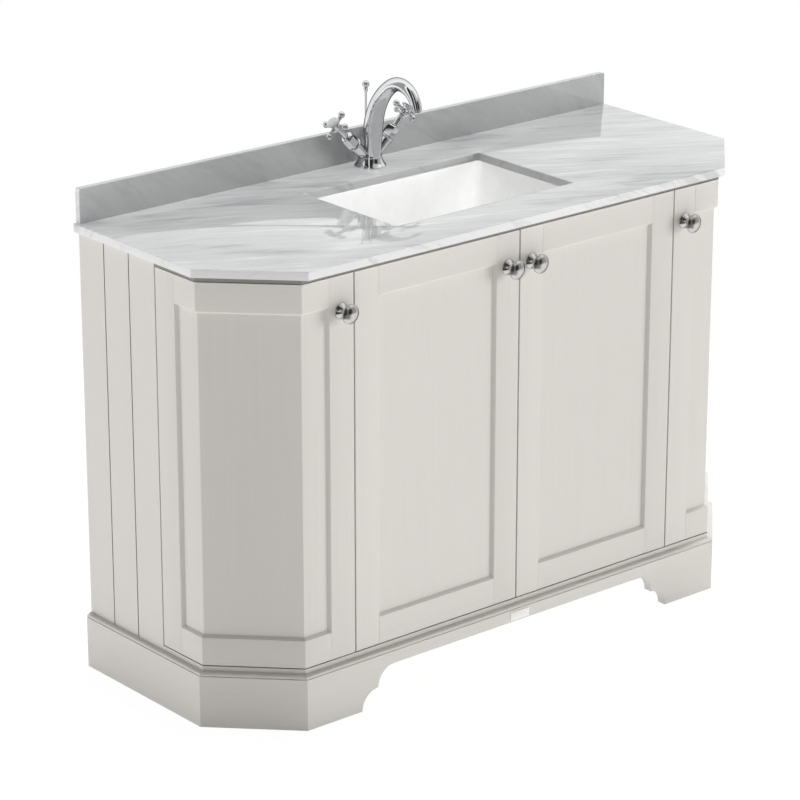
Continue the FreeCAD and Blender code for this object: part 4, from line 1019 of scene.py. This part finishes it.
# The third corner keeps the smooth shading of the thread off the plain stretch below it
TUBE_PROFILE = [(16, 0, 0.4), (20.4, 0, 0.6), (20.4, 20)] + thread(20.4, 21, 34, 2, 14)
PORT_PROFILE = [(6.1, 19), (9, 19), (9, 25, 0.4), (9.8, 25.4, 0.3), (9.8, 33, 0.8), (6.1, 34, 0.5)]
PORT_FLATS = (6, 25.6, 32.5)
WASTE_NUT_PROFILE = [(21, 0, 0.3), (28.4, 0, 1.2), (29.2, 6.4, 0.8), (30, 7, 0.3), (30, 9, 0.5), (21, 9, 0.3)]
STEM_PROFILE = [(0, 0), (3.2, 0, 0.8), (4, 3, 0.6)]
PLUG_PROFILE = (
    [(4, -4.6, 0.8), (9, -3, 1.4), (19.2, -3, 0.4), (20, -2.2, 0.6)]
    + curved((19.8, -1.3), (0, 0), (12, 0), 10)
)
LEVER_FOOT = [(0, 0), (2.5, 0, 1.2)]
LEVER_END = [(2.5, 0, 1), (0, 0)]
LEVER_BALL = 6
# Where the bar meets the ball, in degrees from the ball's foot
LEVER_BALL_START, LEVER_BALL_END = 24.6, 155.4
NECK_DROP = 16
NECK_PROFILE = [
    (21, 2), (21, 16, 0.4), (24, 16, 0.8), (24, 7, 0.6), (29, 6, 1), (29, -7, 0.8), (27.6, -8, 0.4),
]
BOTTLE_PROFILE = [
    (27.6, 26, 0.4), (29.4, 25, 0.6), (29.4, 4, 1.6), (26, 0, 2.4), (0, 0), (0, 3), (24.6, 3, 1),
]
BOTTLE_TOP = [(24.6, 2, 0.5)]
BRANCH_PROFILE = [
    (15.2, -3.5), (17.6, -3.5), (17.6, 4, 0.6), (18.2, 5, 0.4), (18.2, 21, 0.9), (15.2, 22, 0.3),
]
PIPE_START = [(14, 0, 0.3), (15.2, 0, 0.4), (15.2, 23), (16, 23.4, 0.3)]
PIPE_END = [(16, -2, 0.5), (15.4, 0, 0.4), (14, 0, 0.3)]
# Radius, lowest and highest points, and number of the grip ribs on each nut
WASTE_NUT_RIBS = (28.4, 0.8, 6.2, 20)
NECK_RIBS = (29, -6.4, 5, 26)
BOTTLE_RIBS = (29.2, 6, 24, 26)
BRANCH_RIBS = (17.7, 6, 20.5, 20)
# How far a grip rib lies in and stands out, half its width, and its rounding
RIB_IN, RIB_OUT, RIB_HALF, RIB_EASE = 0.0006, 0.0008, 0.0009, 0.0003


def upright(y, z):
    """A place on the middle line of the unit."""
    return Matrix.Translation((0, y, z))


def backward(y, z):
    """A place on the middle line whose axis runs to the wall."""
    return upright(y, z) @ Matrix.Rotation(-QUARTER_TURN, 4, "X")


def ribbed(radius, low, high, count, base=0):
    """Grip ribs of plastic round a nut, between two heights over a base, all in millimetres."""
    reach, bottom, top = radius * MM, (base + low) * MM, (base + high) * MM
    rib = block((reach - RIB_IN, -RIB_HALF, bottom), (reach + RIB_OUT, RIB_HALF, top), RIB_EASE)
    spots = [((0, 0, 0), math.tau * step / count) for step in range(count)]
    return repeated(rib, spots, "moulded plastic")


class VANITY_OT_waste(Operator):
    """Build the pop-up waste, its plug and lever, and the bottle trap with its outlet"""
    bl_idname = "vanity.waste"
    bl_label = "Waste and trap"

    def execute(self, context):
        self.waste()
        self.plug_and_lever()
        self.trap()
        return {"FINISHED"}

    def waste(self):
        """A flanged chrome waste with a threaded tube and a side port, and its nut."""
        flange = raised(FLANGE_PROFILE, size_of("waste_body").z - FLANGE_HEIGHT)
        tube = lathe(TUBE_PROFILE + flange, closed=True, steps=64)
        port = lathe(PORT_PROFILE, closed=True, steps=32, facets=PORT_FLATS)
        shape = joined([
            moved(tube, upright(BASIN_Y, foot_of("waste_body"))),
            moved(port, backward(BASIN_Y, middle_of("plug_lever").z)),
        ])
        make_piece("waste", shape, "polished chrome", "waste_body")
        nut = joined([lathe(WASTE_NUT_PROFILE, closed=True), ribbed(*WASTE_NUT_RIBS)])
        moved(nut, upright(BASIN_Y, foot_of("waste_nut")))
        make_piece("waste_nut", nut, "moulded plastic", "waste_nut")

    def plug_and_lever(self):
        """The domed plug on its stem, and the lever with its ball."""
        plug = STEM_PROFILE + raised(PLUG_PROFILE, size_of("waste_plug").z)
        place = upright(BASIN_Y, foot_of("waste_plug"))
        turned_piece("plug", plug, place, "polished chrome", "waste_plug", "waste_plug")
        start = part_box("plug_lever")[0].y
        pivot = (LEVER_PIVOT.y - start) / MM
        middle = ball(LEVER_BALL, pivot, LEVER_BALL_START, LEVER_BALL_END, steps=12)
        lever = LEVER_FOOT + middle + raised(LEVER_END, size_of("plug_lever").y)
        place = backward(start, middle_of("plug_lever").z)
        turned_piece("lever", lever, place, "polished chrome", "plug_lever", "plug_lever", steps=32)

    def trap(self):
        """A bottle trap with ribbed nuts, and the outlet pipe to the wall."""
        neck = size_of("bottle_trap").z - NECK_DROP
        profile = raised(NECK_PROFILE, neck) + BOTTLE_PROFILE + raised(BOTTLE_TOP, neck)
        vessel = lathe(profile, closed=True, steps=64)
        ribs = [ribbed(*NECK_RIBS, neck), ribbed(*BOTTLE_RIBS)]
        pipe_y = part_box("trap_outlet")[0].y
        pipe_z = middle_of("trap_outlet").z
        start = (pipe_y - BASIN_Y) / MM
        branch = lathe(raised(BRANCH_PROFILE, start), closed=True, steps=48)
        grip = ribbed(*BRANCH_RIBS, start)
        down, back = upright(BASIN_Y, foot_of("bottle_trap")), backward(BASIN_Y, pipe_z)
        shape = joined(
            [moved(part, down) for part in (vessel, *ribs)] + [moved(part, back) for part in (branch, grip)])
        make_piece("trap", shape, "moulded plastic", "bottle_trap")
        pipe = PIPE_START + raised(PIPE_END, size_of("trap_outlet").y)
        place = backward(pipe_y, pipe_z)
        turned_piece("outlet", pipe, place, "moulded plastic", "trap_outlet", closed=True, steps=48)


# Tap

FOOT_PROFILE = (
    [(0, 0), (28.5, 0), (28.5, 1.8, 0.6), (27.4, 2.4, 0.3)]
    + curved((27.0, 3.2), (21.2, 16.5), (22.4, 8.0), 12)
    + [(21.0, 19.0, 0.8)]
    + curved((20.4, 20.4), (13.0, 34.0), (15.6, 24.5), 10)
    + [(0, 34)]
)
ARM_PROFILE = [
    (0, 0), (8.4, 0), (8.8, 20, 4), (11.2, 49.6, 0.6), (12.8, 50.6, 0.4), (13.2, 51.4, 0.3),
    (13.2, 52.6, 0.4), (12.0, 53.4, 0.3), (12.0, 54), (0, 54),
]
TIP_RING_PROFILE = [(0, 1.4), (9.2, 1.4, 0.4), (9.7, 2.2, 0.4), (9.7, 4.0, 0.6), (9.2, 4.8, 0.3), (0, 4.8)]
GUIDE_PROFILE = [(2.1, 24), (3.6, 24), (3.6, 35.5, 0.3), (4.4, 36, 0.3), (4.4, 38, 0.6), (2.1, 38.6, 0.3)]
BONNET_PROFILE = [
    (2.85, 54), (11.4, 54), (12.7, 54.8, 0.4), (12.7, 58, 1.2), (12.0, 74.6, 0.8), (10.6, 77, 0.6),
    (6.6, 78.2, 0.5), (5.0, 79.4, 0.6), (4.6, 96, 0.3), (5.3, 96.6, 0.3), (5.3, 98.4, 0.5), (4.6, 99, 0.3),
    (4.6, 102.6, 0.3), (2.85, 103),
]
BONNET_FLATS = (6, 54.9, 77.1)
HUB_PROFILE = (
    [(0, 73.4), (2.8, 73.4), (2.8, 103.6), (5.6, 103.6, 0.5), (6.6, 105.4, 0.8)]
    + curved((6.6, 106.6), (6.6, 118.2), (8.6, 112.4), 10)
    + [(6.2, 119.4, 0.6), (8.6, 121.4, 0.5), (0, 121.4)]
)
CAP_PROFILE = (
    [(0, 121.4), (10.8, 121.4, 0.4), (11.5, 122.4, 0.5)] + curved((11.2, 123.6), (0, 126.3), (7.5, 126.3), 10)
)
SPOKE_PROFILE = [
    (0, 0), (3.8, 3), (3.5, 6, 0.6), (2.9, 13, 0.6), (3.1, 15.6, 0.3), (4.0, 16.2, 0.3),
    (4.0, 17.2, 0.3), (3.2, 17.6, 0.2),
] + ball(6, 23.5, 30, 180, 10)
SPOKE_HEIGHT = 0.1124
SPOKES = 4
HANDLE_TURN = math.radians(8)
VALVE_RISE = 0.007
VALVE_LEAN = math.radians(45)
NOZZLE_PROFILE = [
    (0, 0.4), (5.6, 0.4), (5.6, -1.1, 0.3), (7, -1.5, 0.4), (7.5, -0.7, 0.4), (7.5, 1.5), (0, 1.5),
]
NOZZLE_HEIGHT = 0.003
SPOUT_FOOT = Vector((0.008, 0.018))
SPOUT_RISE = 0.042
SPOUT_BEND = 0.0446
SPOUT_END = math.radians(8)
RISE_STEPS, ARC_STEPS, BEND_STEPS = 4, 16, 32
LIFT_BALL = 6.5
LIFT_FOOT = [(0, 0), (2, 0, 0.5)]
LIFT_PROFILE = [
    (2, -16), (2.6, -14, 0.6), (4.2, -8.4, 0.5), (3.2, -7, 0.4), (2.6, -5.6),
] + ball(LIFT_BALL, 0, 26, 180, 14)
CLAMP_EASE = 0.0006
CLAMP_SCREW = [(0, 0), (3.6, 0), (3.6, 1.8, 0.5), (2.4, 2.2, 0.3), (2.4, 1.2, 0.2), (0, 1.2)]
CLAMP_SCREW_DROP = 0.006
STUD_PROFILE = [(0, 0), (3, 0, 0.4)] + thread(3.6, 4, 1.5, 1.5, 26) + [(3.6, 41), (4, 42)]
STUD_TOP = [(4, 0, 0.3), (0, 0)]
TAP_NUT_PROFILE = [(4, 0.6), (6.4, 0), (8, 0.8, 0.4), (8, 7.2, 0.4), (6.4, 8), (4, 7.4)]
TAP_NUT_FLATS = (6, 0.7, 7.3)
WASHER_EASE = 0.0005


def on_valve(angle=0):
    """The left valve's leaning axis, from where it crosses the middle of the tap."""
    lean = Matrix.Rotation(-VALVE_LEAN, 4, "Y") @ Matrix.Rotation(angle, 4, "Z")
    return upright(TAP_Y, TOP_Z + VALVE_RISE) @ lean


def toward(angle):
    """A way in the plane of the spout."""
    return Vector((math.cos(angle), math.sin(angle)))


class VANITY_OT_tap(Operator):
    """Build the tap's body, valves, cross handles, lift rod and fixings"""
    bl_idname = "vanity.tap"
    bl_label = "Tap"

    def execute(self, context):
        self.body()
        self.handles()
        self.lift_rod()
        self.fixings()
        return {"FINISHED"}

    def spout_points(self):
        """Points forward and up along the spout: a straight rise, a wide arc and a smaller one."""
        end = toward(SPOUT_END)
        tip = Vector((TAP_Y - NOZZLE.y, NOZZLE.z - TOP_Z)) + end.orthogonal() * NOZZLE_HEIGHT / 2
        centre = tip - end * SPOUT_BEND
        across = centre.x - SPOUT_FOOT.x
        up = centre.y - SPOUT_FOOT.y - SPOUT_RISE
        wide = (across ** 2 + up ** 2 - SPOUT_BEND ** 2) / (2 * (across - SPOUT_BEND))
        sweep = math.atan2(up, wide - across)
        points = [SPOUT_FOOT + Vector((0, SPOUT_RISE * step / RISE_STEPS)) for step in range(RISE_STEPS)]
        middle = SPOUT_FOOT + Vector((wide, SPOUT_RISE))
        points += [middle + toward(math.pi - sweep * step / ARC_STEPS) * wide for step in range(ARC_STEPS)]
        for step in range(BEND_STEPS + 1):
            angle = math.pi - sweep + (SPOUT_END - math.pi + sweep) * step / BEND_STEPS
            points.append(centre + toward(angle) * SPOUT_BEND)
        return points

    def spout(self):
        """Nodes sweep the spout's section along its path."""
        points = self.spout_points()
        path = bpy.data.curves.new("spout path", "CURVE")
        path.dimensions = "3D"
        line = path.splines.new("POLY")
        line.points.add(len(points) - 1)
        for point, (forward, up) in zip(line.points, points):
            point.co = (0, TAP_Y - forward, TOP_Z + up, 1)
        values = {"Radius": settings().fittings.spout_radius, "Finish": finish_of("polished chrome")}
        shape = evaluated_shape(linked_object("spout path", path), spout_tree(), values)
        bmesh.ops.recalc_face_normals(shape, faces=shape.faces)
        return shape

    def body(self):
        """Bell foot, spout with its end ring, two arms with their bonnets, and the nozzle."""
        tip = Matrix.Translation(NOZZLE) @ Matrix.Rotation(-SPOUT_END, 4, "X")
        shape = joined([
            moved(lathe(FOOT_PROFILE, steps=72), upright(TAP_Y, TOP_Z)), self.spout(),
            with_twin(moved(lathe(ARM_PROFILE), on_valve())), moved(lathe(TIP_RING_PROFILE), tip),
            moved(lathe(GUIDE_PROFILE, closed=True, steps=32), upright(ROD_Y, TOP_Z)),
        ])
        make_piece("tap", shape, "polished chrome", "tap_body")
        bonnet = lathe(BONNET_PROFILE, closed=True, steps=48, facets=BONNET_FLATS)
        make_piece("bonnets", with_twin(moved(bonnet, on_valve())), "polished chrome", "valve_bonnets")
        turned_piece("aerator", NOZZLE_PROFILE, tip, "polished chrome", "aerator", steps=48)

    def handles(self):
        """A cross of four ball-ended spokes round each hub, with an index cap."""
        for side in SIDES:
            spoke = moved(lathe(SPOKE_PROFILE, steps=28), ALONG_X)
            spots = [((0, 0, SPOKE_HEIGHT), math.tau * step / SPOKES) for step in range(SPOKES)]
            cross = joined([lathe(HUB_PROFILE, steps=40), repeated(spoke, spots, "polished chrome")])
            place = on_valve(HANDLE_TURN)
            if side == "right":
                place = MIRROR @ place
            handle, cap, body = side + "_tap_handle", side + "_index_cap", side + "_handle"
            make_piece(handle, moved(cross, place), "polished chrome", handle, body=body)
            turned_piece(cap, CAP_PROFILE, place, "index enamel", cap, body, steps=48)

    def lift_rod(self):
        """The rod behind the spout, with a ball on a small cone, and its clamp."""
        rod = LIFT_FOOT + raised(LIFT_PROFILE, size_of("lift_rod").z - LIFT_BALL)
        place = upright(ROD_Y, foot_of("lift_rod"))
        turned_piece("lift_rod", rod, place, "polished chrome", "lift_rod", "lift_rod", steps=32)
        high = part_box("rod_clamp")[1]
        grip = Matrix.Translation((high.x, ROD_Y, high.z - CLAMP_SCREW_DROP))
        screw = moved(lathe(CLAMP_SCREW, steps=24), grip @ ALONG_X)
        shape = joined([eased_copy(CLAMP_EASE, "rod_clamp"), screw])
        make_piece("clamp", shape, "polished chrome", "rod_clamp", body="lift_rod")

    def fixings(self):
        """The stud, washer and nut that hold the tap to the worktop."""
        y = middle_of("tap_stud").y
        stud = STUD_PROFILE + raised(STUD_TOP, size_of("tap_stud").z)
        turned_piece("stud", stud, upright(y, foot_of("tap_stud")), "plain steel", "tap_stud", steps=24)
        place = upright(y, foot_of("tap_nut"))
        turning = {"closed": True, "steps": 48, "facets": TAP_NUT_FLATS}
        turned_piece("tap_nut", TAP_NUT_PROFILE, place, "plain steel", "tap_nut", **turning)
        washer = eased_copy(WASHER_EASE, "tap_washer")
        make_piece("washer", washer, "black rubber", "tap_washer", sharp=BOARD_SHARP)


# Pegs and catches

PEG_PROFILE = [(0, -8), (2.5, -8, 0.5), (2.5, 9, 0.3), (0, 9)]
CATCH_HALF = Vector((0.016, 0.0075, 0.006))
CATCH_EASE = 0.0008
CATCH_INSET = Vector((0, 0.0012, 0))
CATCH_PLATE_HALF = (0.0105, 0.0042)
CATCH_PLATE_DEPTH = 0.0016
CATCH_PLATE_EASE = 0.0004


class VANITY_OT_fittings(Operator):
    """Build the shelf pegs and the door catches"""
    bl_idname = "vanity.fittings"
    bl_label = "Pegs and catches"

    def execute(self, context):
        self.pegs()
        self.catches()
        return {"FINISHED"}

    def centres(self, node):
        """The middle of each loose solid of a node."""
        shape = merged_copy(node)
        found = []
        left = set(shape.verts)
        while left:
            island = {left.pop()}
            edge = set(island)
            while edge:
                edge = {link.other_vert(vert) for vert in edge for link in vert.link_edges} - island
                island |= edge
            left -= island
            along = zip(*(vert.co for vert in island))
            found.append(Vector([(min(places) + max(places)) / 2 for places in along]))
        shape.free()
        return found

    def pegs(self):
        """Plain pins, each half in a board and half under a shelf."""
        outer, inner = abs(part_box("left_side_panel")[1].x), abs(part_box("left_divider")[0].x)
        peg = moved(lathe(PEG_PROFILE, steps=20), ALONG_X)
        z = middle_of("shelf_pegs").z
        spots = []
        for place in self.centres("shelf_pegs"):
            on_side = abs(place.x) > (outer + inner) / 2
            wall = math.copysign(outer if on_side else inner, place.x)
            spots.append(((wall, place.y, z), 0 if (place.x < 0) == on_side else math.pi))
        make_piece("pegs", repeated(peg, spots, "plain steel"), "plain steel", "shelf_pegs")

    def catches(self):
        """Small plastic housings, each with a plate to the front."""
        housing = block(CATCH_INSET - CATCH_HALF, CATCH_HALF, CATCH_EASE)
        x, z = CATCH_PLATE_HALF
        y = -CATCH_HALF.y
        plate = block((-x, y, -z), (x, y + CATCH_PLATE_DEPTH, z), CATCH_PLATE_EASE)
        spots = [(place, 0) for place in self.centres("door_catches")]
        shape = repeated(joined([housing, plate]), spots, "moulded plastic")
        make_piece("catches", shape, "moulded plastic", "door_catches")


# Stage

# Levels that mirrors show, by degrees round from +X: below the horizon, over it and higher up
SCREENS = (
    (
        (-180, 1), (-172, 1), (-164, 0.03), (-134, 0.03), (-124, 0.16), (-110, 0.24), (-80, 0.30), (-58, 1),
        (8, 1), (22, 0.10), (88, 0.10), (100, 1), (180, 1),
    ),
    (
        (-180, 0.10), (-147, 0.03), (-145, 1), (-139, 1), (-137, 0.03), (-108, 0.03), (-102, 0.20),
        (-92, 0.20), (-88, 0.03), (-64, 0.03), (-58, 0.32), (-30, 0.45), (0, 1), (125, 1), (135, 0.35),
        (160, 0.35), (164, 1), (172, 1), (178, 0.10), (180, 0.10),
    ),
    (
        (-180, 0.03), (-147, 0.03), (-145, 1), (-139, 1), (-137, 0.03), (-108, 0.03), (-100, 0.55),
        (-60, 0.55), (-45, 1), (125, 1), (135, 0.35), (160, 0.35), (164, 1), (172, 1), (175, 0.03),
        (180, 0.03),
    ),
)
# Heights between which the rings fade into white below, into one another, and into white above
SCREEN_FADES = ((-0.80, -0.55), (-0.24, -0.14), (0.42, 0.58), (0.90, 0.98))
HORIZON = 0.02
# Where each light stands, and how wide it looks in degrees
SUNS = {
    "overhead": ((0.10, 0.04, 1.00), 7),
    "front": ((0.70, -0.71, 0.10), 30),
    "side": ((-0.72, 0.69, 0.10), 30),
    "bowl": ((-0.36, -0.70, 0.65), 50),
}
BOWL = ("basin",)
UNSHADING = ("upstand", "tap", "aerator", "bonnets", "lift_rod") + tuple(
    side + part for side in SIDES for part in ("_tap_handle", "_index_cap"))
CARD_LEVEL = 0.42
CARD_HIDDEN_FROM = ("camera", "diffuse", "transmission", "volume_scatter", "shadow")
FLOOR_REACH = 1.7
FLOOR_POINTS = 96
FLOOR_DROP = 0.0004
# Grey and glow of the floor as the camera sees it
FLOOR_SEEN = (0.08, 0.965)


def bare_tree(owner):
    """The emptied node tree of a material or of the world."""
    owner.use_nodes = True
    owner.node_tree.nodes.clear()
    return owner.node_tree


class VANITY_OT_stage(Operator):
    """Set the camera, the lights, the floor and the surroundings"""
    bl_idname = "vanity.stage"
    bl_label = "Stage"

    def execute(self, context):
        self.camera(context.scene)
        self.lights()
        self.floor()
        self.card()
        self.surroundings(context.scene)
        context.scene.view_settings.view_transform = "Standard"
        return {"FINISHED"}

    def camera(self, scene):
        """The camera at the photograph's viewing angle."""
        looks = settings().stage
        data = bpy.data.cameras.new("camera")
        data.lens = looks.lens
        data.sensor_width = 36
        data.clip_end = 50
        camera = linked_object("camera", data)
        camera.location = looks.camera_place
        camera.rotation_euler = (looks.camera_pitch, 0, looks.camera_yaw)
        scene.camera = camera

    def lights(self):
        """Soft lights: above the worktop, from the front right, from the left, and into the bowl alone."""
        linking = {}
        for name, (direction, width) in SUNS.items():
            data = bpy.data.lights.new(name + " light", "SUN")
            data.energy = getattr(settings().stage, name)
            data.angle = math.radians(width)
            lamp = linked_object(name + " light", data)
            lamp.rotation_euler = Vector(direction).to_track_quat("Z", "Y").to_euler()
            lamp.visible_glossy = False
            linking[name] = lamp.light_linking
        only_bowl = self.linked_set("only the bowl", BOWL, "INCLUDE")
        linking["bowl"].receiver_collection = only_bowl
        linking["bowl"].blocker_collection = only_bowl
        overhead = linking["overhead"]
        overhead.receiver_collection = self.linked_set("all but the bowl", BOWL, "EXCLUDE")
        overhead.blocker_collection = self.linked_set("no shade on the worktop", UNSHADING, "EXCLUDE")

    def linked_set(self, name, pieces, state):
        """A set of pieces that a light is kept to, or passes by."""
        group = bpy.data.collections.new(name)
        for piece in pieces:
            group.objects.link(bpy.data.objects["finished_" + piece])
        for member in group.collection_objects:
            member.light_linking.link_state = state
        return group

    def seen_or_mirrored(self, tree):
        """Whether a ray comes from the camera, a mirror or clear glass, and whether from a mirror."""
        path = add_node(tree, "ShaderNodeLightPath").outputs
        seen = arithmetic(tree, "MAXIMUM", path["Is Camera Ray"], path["Is Glossy Ray"])
        return arithmetic(tree, "MAXIMUM", seen, path["Is Transmission Ray"]), path["Is Glossy Ray"]

    def flat_item(self, name, spots):
        """A flat item of the stage, and the empty tree of its material."""
        mesh = bpy.data.meshes.new(name)
        mesh.from_pydata(spots, [], [range(len(spots))])
        mesh.materials.append(bpy.data.materials.new(name))
        return linked_object(name, mesh), bare_tree(mesh.materials[0])

    def emission(self, tree, strength):
        """White light of some strength."""
        return add_node(tree, "ShaderNodeEmission", {"Color": opaque(WHITE), "Strength": strength}).outputs[0]

    def glowing(self, tree, level, strength):
        """A matt grey that gives out some light of its own."""
        matt = add_node(tree, "ShaderNodeBsdfDiffuse", {"Color": (level, level, level, 1)}).outputs[0]
        return add_node(tree, "ShaderNodeAddShader", {0: matt, 1: self.emission(tree, strength)}).outputs[0]

    def floor(self):
        """A pale floor that looks white and keeps a faint shadow."""
        angles = [math.tau * step / FLOOR_POINTS for step in range(FLOOR_POINTS)]
        spots = [(FLOOR_REACH * math.cos(angle), FLOOR_REACH * math.sin(angle), 0) for angle in angles]
        floor, tree = self.flat_item("floor", spots)
        looks = settings().stage
        plain, pale = self.glowing(tree, looks.floor, looks.glow), self.glowing(tree, *FLOOR_SEEN)
        seen = self.seen_or_mirrored(tree)[0]
        choice = add_node(tree, "ShaderNodeMixShader", {0: seen, 1: plain, 2: pale})
        add_node(tree, "ShaderNodeOutputMaterial", {"Surface": choice.outputs[0]})
        floor.location.z = -FLOOR_DROP
        floor.visible_glossy = False

    def card(self):
        """A grey card over the bowl's mouth that only mirrors show, so that the spout isn't lost in white."""
        left, front, _ = BASIN_LOW
        right, back, _ = BASIN_HIGH
        corners = ((left, front), (right, front), (right, back), (left, back))
        card, tree = self.flat_item("card", [(x, y, SLAB_Z) for x, y in corners])
        add_node(tree, "ShaderNodeOutputMaterial", {"Surface": self.emission(tree, CARD_LEVEL)})
        for ray in CARD_HIDDEN_FROM:
            setattr(card, "visible_" + ray, False)

    def screen(self, tree, angle, levels):
        """A ring of grey levels round the upright."""
        bands = add_node(tree, "ShaderNodeValToRGB", {"Fac": angle})
        elements = bands.color_ramp.elements
        for degrees, _ in levels[1:-1]:
            elements.new((degrees + 180) / 360)
        for element, (_, level) in zip(elements, levels):
            element.color = (level, level, level, 1)
        return bands.outputs[0]

    def surroundings(self, scene):
        """White all round for the camera and mirrors, with dark screens that only mirrors show."""
        looks = settings().stage
        scene.world = bpy.data.worlds.new("surroundings")
        tree = bare_tree(scene.world)
        way = add_node(tree, "ShaderNodeTexCoord").outputs["Generated"]
        x, y, z = add_node(tree, "ShaderNodeSeparateXYZ", {0: way}).outputs
        angle = spread(tree, arithmetic(tree, "ARCTAN2", y, x), -math.pi, math.pi, 0, 1)
        below, over, higher, above = (spread(tree, z, *fade, 0, 1, True) for fade in SCREEN_FADES)
        low, middle, high = (self.screen(tree, angle, levels) for levels in SCREENS)
        screens = mix_colours(tree, higher, mix_colours(tree, over, low, middle), high)
        seen, mirrored = self.seen_or_mirrored(tree)
        level = spread(tree, z, -HORIZON, HORIZON, looks.bounce, looks.ambient)
        shown = arithmetic(tree, "MULTIPLY", below, arithmetic(tree, "SUBTRACT", 1, above))
        screened = arithmetic(tree, "MULTIPLY", mirrored, shown)
        tint = mix_colours(tree, screened, opaque(WHITE), screens)
        light = add_node(tree, "ShaderNodeBackground", {"Color": opaque(WHITE), "Strength": level})
        white = add_node(tree, "ShaderNodeBackground", {"Color": tint, "Strength": 1})
        choice = add_node(tree, "ShaderNodeMixShader", {0: seen, 1: light.outputs[0], 2: white.outputs[0]})
        add_node(tree, "ShaderNodeOutputWorld", {"Surface": choice.outputs[0]})


class VANITY_PT_panel(Panel):
    """Lists the settings and steps of the vanity unit"""
    bl_idname = "VANITY_PT_panel"
    bl_label = "Vanity unit"
    bl_space_type = "VIEW_3D"
    bl_region_type = "UI"
    bl_category = "Vanity"

    def draw(self, context):
        for group in ("paint", "stone", "fittings", "stage"):
            looks = getattr(context.scene.vanity, group)
            column = self.layout.column(heading=group.title())
            for name in looks.__annotations__:
                column.prop(looks, name)
        for step in STEPS:
            self.layout.operator(step.bl_idname)


SETTINGS = (PaintSettings, StoneSettings, FittingSettings, StageSettings, VanitySettings)
STEPS = (
    VANITY_OT_carcass, VANITY_OT_doors, VANITY_OT_plinth, VANITY_OT_stone, VANITY_OT_basin, VANITY_OT_waste,
    VANITY_OT_tap, VANITY_OT_fittings, VANITY_OT_stage,
)
CLASSES = SETTINGS + STEPS + (VANITY_PT_panel,)


def register():
    """Make the settings, steps and panel known."""
    for item in CLASSES:
        bpy.utils.register_class(item)
    bpy.types.Scene.vanity = PointerProperty(type=VanitySettings)


def unregister():
    """Take the settings, steps and panel away again."""
    del bpy.types.Scene.vanity
    for item in reversed(CLASSES):
        bpy.utils.unregister_class(item)


def main():
    """Dress the frame and set the stage."""
    register()
    for step in STEPS:
        family, name = step.bl_idname.split(".")
        getattr(getattr(bpy.ops, family), name)()


if __name__ == "__main__":
    main()
